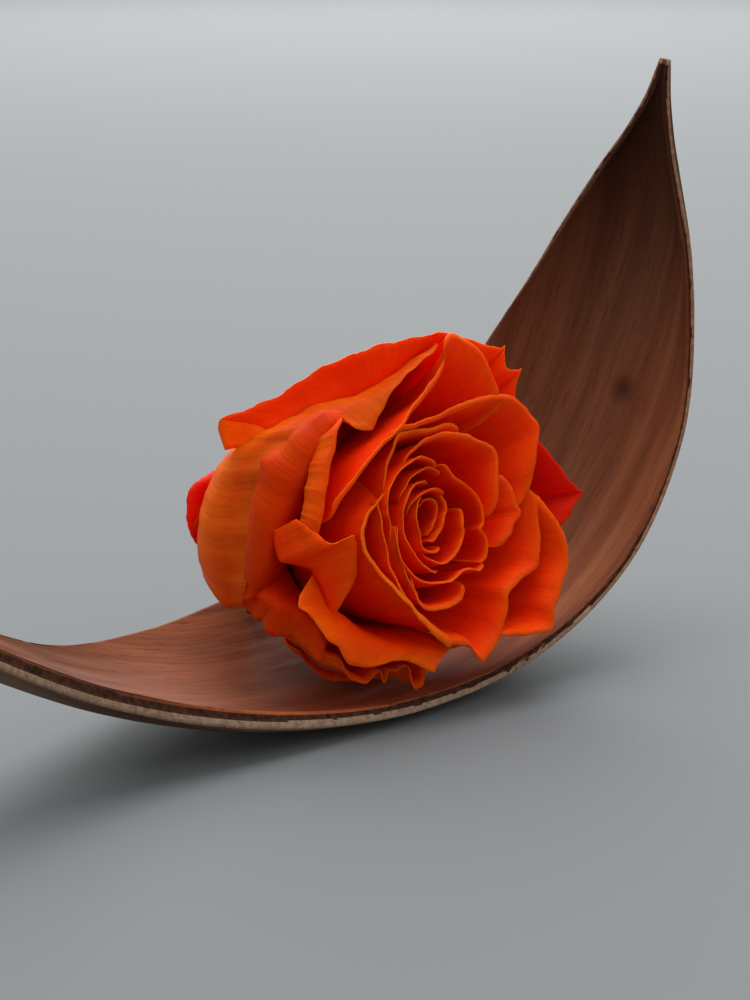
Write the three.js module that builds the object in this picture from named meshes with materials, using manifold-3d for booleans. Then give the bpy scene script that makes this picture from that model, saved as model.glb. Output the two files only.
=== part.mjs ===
// A preserved rose bloom lying in a boat-shaped dried palm spathe.
// Millimetres, +Z up. The origin is the middle of the flat spot that the spathe rests on,
// +X runs along the spathe towards its high tip, and -Y is the side that leans down.
import * as THREE from 'three';
import { mergeVertices } from 'three/addons/utils/BufferGeometryUtils.js';
import Module from 'manifold-3d';

const wasm = await Module();
wasm.setup();

const DEG = Math.PI / 180;

// Spathe: distances along its keel run from -150 at the low tip to 162 at the high tip.
const LOW_TIP = -150;
const HIGH_TIP = 162;
const SPATHE_STEP = 6;
const KEEL_STEP = 2;
// How fast the keel turns upwards, in degrees for each 10 mm along it.
const KEEL_BEND = [[-150, -3], [-110, 1], [-60, 3.2], [0, 4.5], [50, 9], [100, 8], [150, -1], [162, -1]];
const HALF_WIDTH = [[-150, 1], [-130, 6], [-100, 9], [-70, 11.2], [-30, 20], [0, 25.3], [30, 27.4],
  [60, 28.3], [90, 25.5], [120, 17.4], [138, 10.2], [148, 5.4], [155, 2.8], [162, 1.2]];
// The low side reaches this much farther out than the other.
const LOW_SIDE_MORE = [[-150, 0], [0, 0], [30, 0.6], [60, 1], [100, 1.2], [128, 1.3], [142, 0.1], [162, 0]];
// The rims stand this share of the half width above the keel line. The cross-section is deeper
// than that at both tips, where the spathe folds up narrower.
const RIM_RISE = 0.3;
const SECTION_DEPTH = [[-150, 0.9], [-120, 0.5], [-80, 0.3], [100, 0.3], [140, 0.7], [162, 0.9]];
const WALL = [[-150, 3.4], [-60, 3.4], [40, 1.9], [162, 1.7]];
const WALL_SHARE = 0.85;
const SECTION_SIDES = 12;
const ACROSS = Array.from({ length: SECTION_SIDES + 1 }, (_, i) => 2 * i / SECTION_SIDES - 1);
const LEAN = 12;
// The flat spot: its middle and height from the keel's reference point, and the block below it.
const REST_X = 0.6;
const REST_Y = -9.3;
const REST_Z = -0.1;
const CUTTER = 400;

// Bloom: its own axis points out of the spathe over the low side, and tilts a little upwards.
const BLOOM_BASE = [7.6, 24.1, 23.9];
const BLOOM_TILT = 17;
const BLOOM_TURN = -6.3;
const PETAL = 0.7;
const LATHE_SIDES = 16;
// A petal narrows to this share of its width at the root, and its sides tuck in by this share.
const ROOT_SHARE = 0.6;
const SIDE_TUCK = 0.12;
// A petal's belly lies between these shares of its height, and leans towards its rim by this much.
const BELLY_LOW = 0.12;
const BELLY_HIGH = 0.6;
const BELLY_LEAN = 0.35;
const ROLL_STEPS = 3;
// The petals from the bud outwards: radius and height of the root on the receptacle, the radius
// that the petal swells to before it rises to its rim (0 follows the rim), and how finely it is
// divided, by the angle between columns and the number of rows.
const LAYERS = {
  bud: { root: [2.2, 19], belly: 0, columnAngle: 26, rows: 2 },
  heart: { root: [3.5, 13], belly: 13.5, columnAngle: 15, rows: 3 },
  wrap: { root: [4.5, 9], belly: 18.5, columnAngle: 14, rows: 4 },
  cup: { root: [5.5, 5], belly: 25, columnAngle: 12, rows: 4 },
  outer: { root: [6.5, 2], belly: 29.5, columnAngle: 12, rows: 4 },
};
// Bud petals: middle angle, half the angle that it wraps, radius and height of its rim. From side
// to side the radius grows by twice the spiral's step, and the rim's ends droop.
const BUD = [[200, 150, 1.9, 38], [215, 110, 3.8, 39.5], [75, 100, 5.4, 40.3], [310, 95, 6.9, 40.8],
  [190, 90, 8.3, 41.2], [20, 85, 9.8, 41.6], [285, 62, 11.6, 41.4], [122, 62, 11.2, 42]];
const BUD_POINTS = 7;
const BUD_SPIRAL = 0.6;
const BUD_DROOP = 1.2;
const BUD_SWELL = 1.08;

// Each petal's rim: angle round the axis, distance from it, and height above the base.
const PETALS = [
  ['heart', [[4, 15.3, 42], [19, 18.8, 42], [29, 20.9, 42.3], [36, 19.5, 42.3], [61, 16.2, 42.5],
    [83, 14.1, 42.5], [102, 13.2, 42.5], [120, 12.8, 42], [140, 12.6, 41.5]]],
  ['heart', [[50, 18.2, 41.5], [61, 18.2, 42], [82, 16, 42], [98, 15.8, 42], [108, 16.6, 42.3],
    [118, 15.2, 42], [130, 14.5, 41.5], [146, 14.2, 41], [160, 14.4, 40.5]]],
  ['heart', [[335, 18.5, 39], [345, 20.8, 40], [353, 22.8, 40], [365, 22.2, 40], [376, 20.5, 40],
    [388, 18.5, 39]]],
  ['heart', [[150, 13, 41], [170, 13.2, 41.5], [190, 13.8, 41.5], [210, 14.6, 41.5], [224, 15.5, 41.5],
    [238, 16.2, 41.5], [251, 16.8, 41.5], [265, 16.8, 41]]],
  ['heart', [[218, 12.9, 40.5], [232, 13.6, 41], [250, 15.3, 41.3], [267, 15.6, 41.3], [282, 15, 41],
    [290, 13.6, 41], [300, 13, 40.5]]],
  ['wrap', [[-8, 22.5, 39.5], [5, 26, 41], [14, 29, 42], [23, 33, 42], [30, 32.5, 42], [38, 30.5, 42],
    [53, 23.5, 42], [70, 19.2, 42], [90, 17.3, 42], [105, 17.4, 42], [125, 17.4, 41]]],
  ['wrap', [[262, 21.5, 40.5], [272, 22.3, 41], [278, 23, 41], [284, 26.8, 41], [295, 25.5, 41],
    [306, 23.2, 41], [314, 21.8, 41], [324, 23.5, 41], [335, 26.8, 41], [346, 27, 41], [358, 27, 41],
    [368, 25.5, 40]]],
  ['wrap', [[140, 15.7, 40], [158, 15.9, 41], [182, 16.4, 41], [200, 17, 41], [218, 17.6, 41],
    [236, 18.5, 41], [254, 20, 41], [272, 20.6, 40.5]]],
  ['wrap', [[35, 33, 37], [42, 33, 39.5], [52, 34, 41.5], [59, 34.7, 42], [67, 34, 42], [72, 30, 42],
    [82, 24.7, 42], [96, 21.5, 42], [113, 19.4, 41], [133, 19.2, 41], [155, 20.3, 40.3],
    [172, 22.6, 39.5]]],
  ['cup', [[118, 24.6, 38.5], [128, 24.4, 39.7], [137, 23.8, 40.3], [149, 23.4, 40.7],
    [162, 23.6, 40.7], [172, 24, 40]], { roll: 3.6, turn: 105 }],
  ['cup', [[160, 29, 33], [167, 27.6, 36.5], [172, 25, 38], [177, 21, 39], [181, 16.8, 40],
    [187, 15.8, 40], [197, 17.4, 39], [205, 22.8, 38], [208, 27, 36], [213, 29, 32]]],
  ['cup', [[193, 31, 30], [199, 29.5, 35], [205, 28.2, 36], [212, 28.4, 36.3], [220, 28.8, 37],
    [226, 29.6, 37], [233, 28.8, 37], [245, 26, 38], [254, 26, 39], [261, 27.8, 40], [268, 24.4, 39.5],
    [278, 22.8, 38]]],
  ['cup', [[292, 24, 39.5], [301, 27, 41], [307, 29.5, 42], [315, 33.3, 42], [320, 32, 42],
    [328, 32.4, 42], [337, 33, 42], [347, 31, 42], [356, 28.4, 41], [364, 27.8, 39]]],
  ['cup', [[58, 34.4, 37.5], [66, 33, 39.5], [73, 28.6, 40], [86, 23.6, 39.5], [101, 20.8, 38.5],
    [112, 20.2, 38], [119, 22.4, 38], [123, 26, 37.3], [130, 27, 36.3], [138, 26.2, 36],
    [149, 26, 35.2], [161, 26.5, 34.2], [172, 27.6, 33], [182, 30, 31.5]]],
  ['cup', [[336, 29.5, 34], [345, 32.5, 38], [352, 35.5, 40], [358, 39, 40.3], [363, 37, 40.3],
    [370, 34.3, 40.2], [378, 33.2, 39.5], [388, 33.4, 38], [398, 33, 35]]],
  ['cup', [[14, 33, 33], [25, 34.5, 36], [34, 35.5, 38.6], [37, 38, 39.5], [41, 37, 39.5],
    [45, 39, 39.5], [51, 37, 39.3], [58, 36, 38.4], [67, 34.6, 36.5], [78, 33, 34]]],
  ['outer', [[64, 35.8, 39], [70, 34.2, 39.5], [78, 33.2, 38], [88, 32.2, 36.4], [97, 31.6, 34.8],
    [106, 31.4, 32.5], [115, 31.6, 29.5], [123, 31.6, 26.3], [131, 33.6, 24], [138, 36.2, 22],
    [142, 31.5, 19]]],
  ['outer', [[116, 24.5, 27.5], [126, 26.4, 29.5], [136, 27.6, 29], [145, 28.8, 28], [154, 28.2, 27],
    [164, 28, 27], [174, 29, 27], [182, 30.6, 27], [189, 31.4, 25], [195, 30.4, 21]], { belly: 31.5 }],
  ['cup', [[166, 24.6, 28], [178, 23.6, 30], [190, 23.6, 31], [203, 24.6, 31.5], [216, 25.4, 31.5],
    [228, 25.6, 30.5]]],
  ['outer', [[140, 23, 7], [147, 28, 9], [153, 30.6, 10], [161, 31.2, 10.3], [168, 30, 10],
    [175, 26, 8.5]], { root: [7, 0.8], belly: 24 }],
  ['outer', [[190, 25, 14], [197, 25.6, 18], [204, 27.2, 20.5], [208, 28.6, 22], [215, 26.8, 24],
    [221, 27.4, 25.5], [226, 28, 27], [232, 26.6, 27.5], [240, 25.6, 27.5]], { belly: 25.5 }],
  ['outer', [[222, 26, 27], [230, 27.2, 29.5], [236, 28.6, 30], [243, 28.2, 30], [248, 26.6, 30],
    [252, 28.2, 30], [258, 25.6, 30.5], [264, 28.2, 30], [270, 27.8, 29.5], [278, 25.4, 29],
    [290, 24.4, 28]], { belly: 26 }],
  ['outer', [[236, 22.6, 12], [248, 25.2, 14], [260, 26.4, 15], [272, 26.6, 15], [284, 26, 14.5],
    [296, 24.6, 13], [306, 22.6, 11]], { root: [7, 0.8], belly: 24 }],
  ['outer', [[282, 24.5, 28], [294, 26.5, 31], [306, 29, 33.5], [318, 31, 35], [330, 31.6, 35],
    [342, 31.4, 33.5], [352, 30.4, 31]]],
  ['outer', [[338, 31, 27], [350, 32.6, 30.5], [362, 33.4, 32.5], [376, 33.8, 33.3], [390, 34, 33],
    [403, 33.6, 31.5], [414, 32.6, 29]]],
  ['outer', [[44, 31.6, 24], [56, 32.6, 27.5], [68, 33, 29.6], [80, 32.6, 30], [92, 32, 29.2],
    [104, 31.2, 27], [114, 30, 24]]],
];
// The core that the petals stand on, from its foot to its top: radius and height.
const CORE = [[0, 0], [6.6, 0], [7.6, 3], [7, 8], [5.4, 14], [3.6, 20], [1.6, 25], [0, 26]];

// Calyx under the bloom: the hip with a short cut stem, and five sepals bent back from it.
const SEAT_GAP = 0.3;
const HIP = [[0, 0], [5.8, 0], [6.4, -1.4], [6, -3.6], [4.6, -6], [3.1, -7.6], [2.6, -9], [2.6, -12.6],
  [2.2, -13], [0, -13]];
const SEPALS = 5;
const SEPAL_START = 18;
const SEPAL_SPINE = [[4.6, -2.2], [7.8, -1.6], [10.8, -1.9], [12.6, -2.9], [13.8, -4.4]];
const SEPAL_HALF_WIDTHS = [2.6, 3.2, 2.6, 1.6, 0.5];
const SEPAL_KEEL = 0.8;
const SEPAL = 0.9;

const spatheFinish = { color: 0x7a452f, roughness: 0.6, metalness: 0 };
const petalFinish = { color: 0xe23a08, roughness: 0.55, metalness: 0 };
const calyxFinish = { color: 0x5d6b34, roughness: 0.75, metalness: 0 };

// A smooth value through stations [place, value]: cubic pieces that never overshoot a station.
function valueAt(stations, place) {
  const last = stations.length - 1;
  let i = 0;
  while (i < last - 1 && place > stations[i + 1][0]) i += 1;
  const rate = (k) => (stations[k + 1][1] - stations[k][1]) / (stations[k + 1][0] - stations[k][0]);
  const slope = (k) => {
    if (k === 0 || k === last) return rate(Math.min(k, last - 1));
    const [before, after] = [rate(k - 1), rate(k)];
    return before * after > 0 ? 2 * before * after / (before + after) : 0;
  };
  const [x0, y0] = stations[i];
  const [x1, y1] = stations[i + 1];
  const step = x1 - x0;
  const t = Math.min(Math.max((place - x0) / step, 0), 1);
  return (2 * t ** 3 - 3 * t ** 2 + 1) * y0 + (t ** 3 - 2 * t ** 2 + t) * step * slope(i)
    + (-2 * t ** 3 + 3 * t ** 2) * y1 + (t ** 3 - t ** 2) * step * slope(i + 1);
}

// A closed solid from a position-only geometry whose faces point outwards.
function toSolid(geometry) {
  const bare = geometry.clone();
  bare.deleteAttribute('normal');
  bare.deleteAttribute('uv');
  const merged = mergeVertices(bare, 1e-4);
  const vertProperties = new Float32Array(merged.attributes.position.array);
  const triVerts = new Uint32Array(merged.index.array);
  return new wasm.Manifold(new wasm.Mesh({ numProp: 3, vertProperties, triVerts }));
}

// The largest body of a joined solid, without scraps or sealed pockets.
function largestBody(solid) {
  const bodies = solid.decompose().sort((a, b) => b.volume() - a.volume());
  return bodies[0];
}

function toGeometry(solid) {
  const mesh = solid.getMesh();
  const geometry = new THREE.BufferGeometry();
  geometry.setAttribute('position', new THREE.Float32BufferAttribute(mesh.vertProperties, 3));
  geometry.setIndex(new THREE.Uint32BufferAttribute(mesh.triVerts, 1));
  geometry.computeVertexNormals();
  return geometry;
}

function geometryFrom(points, faces) {
  const geometry = new THREE.BufferGeometry();
  const numbers = points.flatMap((point) => point.toArray());
  geometry.setAttribute('position', new THREE.Float32BufferAttribute(numbers, 3));
  geometry.setIndex(faces.flat());
  return geometry;
}

// The keel: place and heading at each step, with the reference point at distance 0.
function layKeel() {
  const keel = [{ at: 0, x: 0, z: 0, heading: 0 }];
  const march = (direction, end) => {
    let here = keel.find((point) => point.at === 0);
    while (Math.abs(here.at - end) > 1e-9) {
      const at = here.at + direction * KEEL_STEP;
      const bend = valueAt(KEEL_BEND, (here.at + at) / 2) * DEG / 10;
      const heading = here.heading + direction * bend * KEEL_STEP;
      const middle = (here.heading + heading) / 2;
      here = {
        at,
        x: here.x + direction * KEEL_STEP * Math.cos(middle),
        z: here.z + direction * KEEL_STEP * Math.sin(middle),
        heading,
      };
      if (direction > 0) keel.push(here);
      else keel.unshift(here);
    }
  };
  march(1, HIGH_TIP);
  march(-1, LOW_TIP);
  return keel;
}

// A point of the spathe's wall: across from -1 at the low rim to 1, inwards 0 outside and 1 inside.
function spathePoint(station, across, inwards) {
  const halfWidth = valueAt(HALF_WIDTH, station.at);
  const depth = valueAt(SECTION_DEPTH, station.at);
  const radius = halfWidth * (1 + depth * depth) / (2 * depth);
  const rimAngle = 2 * Math.atan(depth);
  const wall = Math.min(valueAt(WALL, station.at), WALL_SHARE * radius);
  const reach = radius - wall * inwards;
  const more = valueAt(LOW_SIDE_MORE, station.at) * (1 - across) / 2;
  const side = reach * Math.sin(across * rimAngle) - more;
  const rise = RIM_RISE * halfWidth + radius * Math.cos(rimAngle) - reach * Math.cos(across * rimAngle);
  const x = station.x - Math.sin(station.heading) * rise;
  const z = station.z + Math.cos(station.heading) * rise;
  return new THREE.Vector3(x, side, z).applyAxisAngle(new THREE.Vector3(1, 0, 0), LEAN * DEG);
}

function makeSpathe() {
  const stations = layKeel().filter((point) => (point.at - LOW_TIP) % SPATHE_STEP === 0);
  const ringSize = 2 * (SECTION_SIDES + 1);
  const points = [];
  for (const station of stations) {
    for (const across of ACROSS) points.push(spathePoint(station, across, 0));
    for (const across of [...ACROSS].reverse()) points.push(spathePoint(station, across, 1));
  }
  const faces = [];
  for (let k = 0; k < stations.length - 1; k += 1) {
    for (let i = 0; i < ringSize; i += 1) {
      const a = k * ringSize + i;
      const b = k * ringSize + (i + 1) % ringSize;
      faces.push([a, b, b + ringSize], [a, b + ringSize, a + ringSize]);
    }
  }
  for (const [first, flip] of [[0, false], [(stations.length - 1) * ringSize, true]]) {
    for (let i = 0; i < SECTION_SIDES; i += 1) {
      const [a, b] = [first + i, first + i + 1];
      const [c, d] = [first + ringSize - 2 - i, first + ringSize - 1 - i];
      if (flip) faces.push([a, b, c], [a, c, d]);
      else faces.push([a, c, b], [a, d, c]);
    }
  }
  const shell = geometryFrom(points, faces);
  shell.translate(-REST_X, -REST_Y, -REST_Z);
  const below = new THREE.BoxGeometry(CUTTER, CUTTER, CUTTER);
  below.translate(0, 0, -CUTTER / 2);
  return toSolid(shell).subtract(toSolid(below));
}

// A point in the bloom's own frame from an angle round the axis, a radius and a height.
function polar(angle, radius, height) {
  return new THREE.Vector3(radius * Math.cos(angle * DEG), radius * Math.sin(angle * DEG), height);
}

// The two faces of a thin sheet, half its thickness to each side of a grid of points.
function sheetSolid(grid, thickness) {
  const rows = grid.length;
  const columns = grid[0].length;
  const along = (r, c) => grid[Math.min(r + 1, rows - 1)][c].clone().sub(grid[Math.max(r - 1, 0)][c]);
  const across = (r, c) => grid[r][Math.min(c + 1, columns - 1)].clone().sub(grid[r][Math.max(c - 1, 0)]);
  const points = [];
  for (const side of [1, -1]) {
    for (let r = 0; r < rows; r += 1) {
      for (let c = 0; c < columns; c += 1) {
        const normal = across(r, c).cross(along(r, c)).normalize();
        points.push(grid[r][c].clone().addScaledVector(normal, side * thickness / 2));
      }
    }
  }
  const other = rows * columns;
  const faces = [];
  for (let r = 0; r < rows - 1; r += 1) {
    for (let c = 0; c < columns - 1; c += 1) {
      const a = r * columns + c;
      const [b, d] = [a + 1, a + columns];
      const e = d + 1;
      faces.push([a, b, e], [a, e, d]);
      faces.push([a + other, e + other, b + other], [a + other, d + other, e + other]);
    }
  }
  const edge = [];
  for (let c = 0; c < columns; c += 1) edge.push(c);
  for (let r = 1; r < rows; r += 1) edge.push(r * columns + columns - 1);
  for (let c = columns - 2; c >= 0; c -= 1) edge.push((rows - 1) * columns + c);
  for (let r = rows - 2; r > 0; r -= 1) edge.push(r * columns);
  edge.forEach((a, i) => {
    const b = edge[(i + 1) % edge.length];
    faces.push([a, a + other, b + other], [a, b + other, b]);
  });
  return toSolid(geometryFrom(points, faces));
}

// A petal: its rim is a smooth line through the table's points, and every column of it swells
// out from the root and rises to the rim, where it may roll outwards.
function makePetal(layerName, rim, options = {}) {
  const layer = { ...LAYERS[layerName], ...options };
  const [rootRadius, rootHeight] = layer.root;
  const line = new THREE.CatmullRomCurve3(rim.map((place) => new THREE.Vector3(...place)));
  const width = rim[rim.length - 1][0] - rim[0][0];
  const middle = (rim[rim.length - 1][0] + rim[0][0]) / 2;
  const columns = Math.max(Math.round(width / layer.columnAngle), rim.length - 1) + 1;
  const meridians = [];
  for (let c = 0; c < columns; c += 1) {
    const { x: angle, y: radius, z: height } = line.getPoint(c / (columns - 1));
    const side = 2 * c / (columns - 1) - 1;
    const belly = (layer.belly || radius * BUD_SWELL) * (1 - SIDE_TUCK * side * side);
    const rise = height - rootHeight;
    const path = new THREE.CubicBezierCurve(
      new THREE.Vector2(rootRadius, rootHeight),
      new THREE.Vector2(belly, rootHeight + BELLY_LOW * rise),
      new THREE.Vector2(belly + BELLY_LEAN * (radius - belly), rootHeight + BELLY_HIGH * rise),
      new THREE.Vector2(radius, height),
    );
    const meridian = [];
    for (let r = 0; r <= layer.rows; r += 1) {
      const share = r / layer.rows;
      const { x, y } = path.getPoint(share);
      const spread = ROOT_SHARE + (1 - ROOT_SHARE) * Math.sin(share * Math.PI / 2);
      meridian.push(polar(middle + (angle - middle) * spread, x, y));
    }
    if (layer.roll) {
      const end = path.getTangent(1);
      let heading = Math.atan2(end.y, end.x);
      let [x, y] = [radius, height];
      for (let k = 0; k < ROLL_STEPS; k += 1) {
        heading -= layer.turn * DEG / ROLL_STEPS;
        x += layer.roll / ROLL_STEPS * Math.cos(heading);
        y += layer.roll / ROLL_STEPS * Math.sin(heading);
        meridian.push(polar(angle, x, y));
      }
    }
    meridians.push(meridian);
  }
  const grid = meridians[0].map((_, r) => meridians.map((meridian) => meridian[r]));
  return sheetSolid(grid, PETAL);
}

// Bud petals wrap round the axis in a spiral: one side is tucked in and the other lies outside.
function budRim([middle, halfWrap, radius, height]) {
  return Array.from({ length: BUD_POINTS }, (_, i) => {
    const side = 2 * i / (BUD_POINTS - 1) - 1;
    return [middle + side * halfWrap, radius + side * BUD_SPIRAL, height - BUD_DROOP * side * side];
  });
}

// A turned shape about the bloom's axis, from its profile of radius and height.
function latheUpright(profile) {
  const outline = profile.map((place) => new THREE.Vector2(...place));
  const geometry = new THREE.LatheGeometry(outline, LATHE_SIDES);
  geometry.rotateX(90 * DEG);
  return geometry;
}

function makeBloom() {
  const core = latheUpright(CORE);
  const petals = [
    ...BUD.map((bud) => makePetal('bud', budRim(bud))),
    ...PETALS.map(([layer, rim, options]) => makePetal(layer, rim, options)),
  ];
  return largestBody(petals.reduce((joined, petal) => joined.add(petal), toSolid(core)));
}

function makeCalyx() {
  let calyx = toSolid(latheUpright([...HIP].reverse()));
  for (let k = 0; k < SEPALS; k += 1) {
    const turn = (SEPAL_START + 360 * k / SEPALS) * DEG;
    const grid = SEPAL_SPINE.map(([radius, height], i) => [-1, 0, 1].map((side) => {
      const keel = side === 0 ? SEPAL_KEEL : 0;
      return new THREE.Vector3(radius, side * SEPAL_HALF_WIDTHS[i], height - keel)
        .applyAxisAngle(new THREE.Vector3(0, 0, 1), turn);
    }));
    calyx = calyx.add(sheetSolid(grid, SEPAL));
  }
  return largestBody(calyx);
}

function part(name, solid, finish) {
  const mesh = new THREE.Mesh(toGeometry(solid), new THREE.MeshStandardMaterial(finish));
  mesh.name = name;
  return mesh;
}

const bloom = new THREE.Group();
bloom.position.set(...BLOOM_BASE);
bloom.rotation.set((90 - BLOOM_TILT) * DEG, 0, BLOOM_TURN * DEG, 'ZXY');
const calyx = part('rose_calyx', makeCalyx(), calyxFinish);
calyx.position.z = -SEAT_GAP;
bloom.add(part('rose_petals', makeBloom(), petalFinish), calyx);

const rose = new THREE.Group();
rose.add(part('spathe_boat', makeSpathe(), spatheFinish), bloom);

export default rose;
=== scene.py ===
# %% [markdown]
# # A preserved rose in a dried spathe
#
# The part is one large orange rose bloom, preserved and lying on its side in the dried spathe of
# a palm: a curved, boat-shaped sheath that sweeps up to a narrow tip. This lesson dresses it in
# steps: the camera and light first, then the spathe, the petals of the bloom, and its calyx.

# %% Load the frame
import math
import bpy
import numpy as np
from mathutils import Matrix, Vector


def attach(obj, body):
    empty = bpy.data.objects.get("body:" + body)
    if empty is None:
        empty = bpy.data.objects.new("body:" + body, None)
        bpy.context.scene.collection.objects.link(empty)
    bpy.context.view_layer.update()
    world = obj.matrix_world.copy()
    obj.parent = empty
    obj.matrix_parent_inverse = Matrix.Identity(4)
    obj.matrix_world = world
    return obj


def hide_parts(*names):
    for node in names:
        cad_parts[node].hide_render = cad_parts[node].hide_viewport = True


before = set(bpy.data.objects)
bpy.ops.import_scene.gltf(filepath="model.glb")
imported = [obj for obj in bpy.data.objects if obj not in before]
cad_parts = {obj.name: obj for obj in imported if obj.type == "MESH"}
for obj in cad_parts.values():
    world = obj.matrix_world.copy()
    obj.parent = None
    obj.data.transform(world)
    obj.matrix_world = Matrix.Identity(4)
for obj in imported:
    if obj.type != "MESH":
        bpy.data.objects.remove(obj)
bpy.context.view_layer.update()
MM = 0.001
print("nodes:", sorted(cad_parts))

# %% [markdown]
# ## Camera
#
# The photograph looks down a little on the bloom from its front left. A long lens keeps the
# spathe's high tip and the bloom in their true proportions. The camera is placed by what it looks
# at, from how far, and from which side, because those three numbers are easy to read and change.

# %% Camera
AIM = Vector((12.9, 6.4, 34.4)) * MM
CAMERA_REACH = 443 * MM
CAMERA_AZIMUTH = math.radians(-48.8)
CAMERA_PITCH = math.radians(13.5)
LENS, SENSOR = 86.4, 36
NEAR_CLIP = 0.01

look = Vector((
    -math.sin(CAMERA_AZIMUTH) * math.cos(CAMERA_PITCH),
    math.cos(CAMERA_AZIMUTH) * math.cos(CAMERA_PITCH),
    -math.sin(CAMERA_PITCH),
))
bpy.ops.object.camera_add(location=AIM - look * CAMERA_REACH)
camera = bpy.context.object
camera.rotation_euler = look.to_track_quat("-Z", "Y").to_euler()
camera.data.lens = LENS
camera.data.sensor_width = SENSOR
camera.data.clip_start = NEAR_CLIP
bpy.context.scene.camera = camera
print("camera at", [round(value, 3) for value in camera.location])

# %% [markdown]
# ## Floor and light
#
# A plain pale floor runs far back under the piece. One large soft light hangs overhead, and a
# weak one in front lifts the near side. Two very large ones hang far behind, over the floor that
# the camera sees there, so the floor grows brighter with distance and the near side of the piece
# keeps its soft shadow. A dim even surround fills that shadow. One window's light would need one
# lamp only, but the floor would then lose its even, bright background.

# %% Numbers of the floor and the lights
FLOOR_SIZE = 24
FLOOR_COLOUR = (0.168, 0.177, 0.18, 1)
FLOOR_ROUGHNESS = 0.9
SURROUND = (0.93, 0.97, 1.0, 1)
SURROUND_STRENGTH = 0.58
# Place, size in metres and power in watts of each soft light.
SOFT_LIGHTS = {
    "overhead": ((0.14, 0.08, 1.2), 1.1, 10.0),
    "front": ((0.05, -1.0, 0.8), 0.9, 2.2),
    "behind": ((1.7, 1.5, 1.7), 3.0, 80),
    "far floor": ((3.4, 2.9, 1.6), 3.0, 72),
}

# %% The floor
def plain_material(name, colour, roughness):
    material = bpy.data.materials.new(name)
    material.use_nodes = True
    shader = material.node_tree.nodes["Principled BSDF"]
    shader.inputs["Base Color"].default_value = colour
    shader.inputs["Roughness"].default_value = roughness
    return material


bpy.ops.object.select_all(action="DESELECT")
bpy.ops.mesh.primitive_plane_add(size=FLOOR_SIZE, location=(0, 0, 0))
floor = bpy.context.object
floor.name = "floor"
floor.data.materials.append(plain_material("floor", FLOOR_COLOUR, FLOOR_ROUGHNESS))
print("floor:", [round(side, 2) for side in floor.dimensions])

# %% The surround and the soft lights
world = bpy.data.worlds.new("surround")
bpy.context.scene.world = world
world.use_nodes = True
background = world.node_tree.nodes["Background"]
background.inputs["Color"].default_value = SURROUND
background.inputs["Strength"].default_value = SURROUND_STRENGTH

for name, (place, size, power) in SOFT_LIGHTS.items():
    bpy.ops.object.light_add(type="AREA", location=place)
    light = bpy.context.object
    light.name = name
    light.data.shape = "DISK"
    light.data.size = size
    light.data.energy = power
bpy.context.scene.view_settings.view_transform = "Standard"
print("soft lights:", list(SOFT_LIGHTS))

# %% [markdown]
# ## The spathe: its run and its section
#
# A palm's spathe dries into a trough with thick, fibrous walls. It could be pulled out of a
# cylinder with a bend, but its width, its depth and the rate at which its keel turns all change
# on the way. So it is drawn as its numbers: stations along the keel, with a smooth value between
# them, and a circular arc across at each place. The same numbers make the solid underneath.

# %% Smooth values between stations
def value_at(stations, place):
    """Cubic pieces through stations (place, value) that never overshoot a station."""
    places, values = np.array(stations, float).T
    rate = np.diff(values) / np.diff(places)
    before, after = rate[:-1], rate[1:]
    product = before * after
    slope = np.empty_like(values)
    slope[0], slope[-1] = rate[0], rate[-1]
    slope[1:-1] = np.where(product > 0, 2 * product / np.where(product > 0, before + after, 1), 0)
    place = np.asarray(place, float)
    i = np.clip(np.searchsorted(places, place, side="right") - 1, 0, len(rate) - 1)
    step = places[i + 1] - places[i]
    t = np.clip((place - places[i]) / step, 0, 1)
    return (
        (2 * t**3 - 3 * t**2 + 1) * values[i] + (t**3 - 2 * t**2 + t) * step * slope[i]
        + (3 * t**2 - 2 * t**3) * values[i + 1] + (t**3 - t**2) * step * slope[i + 1]
    )


# %% The keel and the section, in millimetres along the keel
LOW_TIP, HIGH_TIP = -150, 162
KEEL_BEND = [(-150, -3), (-110, 1), (-60, 3.2), (0, 4.5), (50, 9), (100, 8), (150, -1), (162, -1)]
HALF_WIDTH = [(-150, 1), (-130, 6), (-100, 9), (-70, 11.2), (-30, 20), (0, 25.3), (30, 27.4),
              (60, 28.3), (90, 25.5), (120, 17.4), (138, 10.2), (148, 5.4), (155, 2.8), (162, 1.2)]
# The low side reaches this much farther out than the other.
LOW_SIDE_MORE = [(-150, 0), (0, 0), (30, 0.6), (60, 1), (100, 1.2), (128, 1.3), (142, 0.1),
                 (162, 0)]
RIM_RISE = 0.3
SECTION_DEPTH = [(-150, 0.9), (-120, 0.5), (-80, 0.3), (100, 0.3), (140, 0.7), (162, 0.9)]
WALL = [(-150, 3.4), (-60, 3.4), (40, 1.9), (162, 1.7)]
WALL_SHARE = 0.85
LEAN = math.radians(12)
REST = np.array([0.6, -9.3, -0.1])

keel_at = np.arange(LOW_TIP, HIGH_TIP + 1.0)
keel_bend = np.radians(value_at(KEEL_BEND, (keel_at[1:] + keel_at[:-1]) / 2)) / 10
heading = np.concatenate([[0], np.cumsum(keel_bend)])
heading -= heading[-LOW_TIP]
step_heading = (heading[1:] + heading[:-1]) / 2
keel_x = np.concatenate([[0], np.cumsum(np.cos(step_heading))])
keel_z = np.concatenate([[0], np.cumsum(np.sin(step_heading))])
keel_x -= keel_x[-LOW_TIP]
keel_z -= keel_z[-LOW_TIP]
print("the keel turns by", round(math.degrees(heading[-1] - heading[0])), "degrees")

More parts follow.
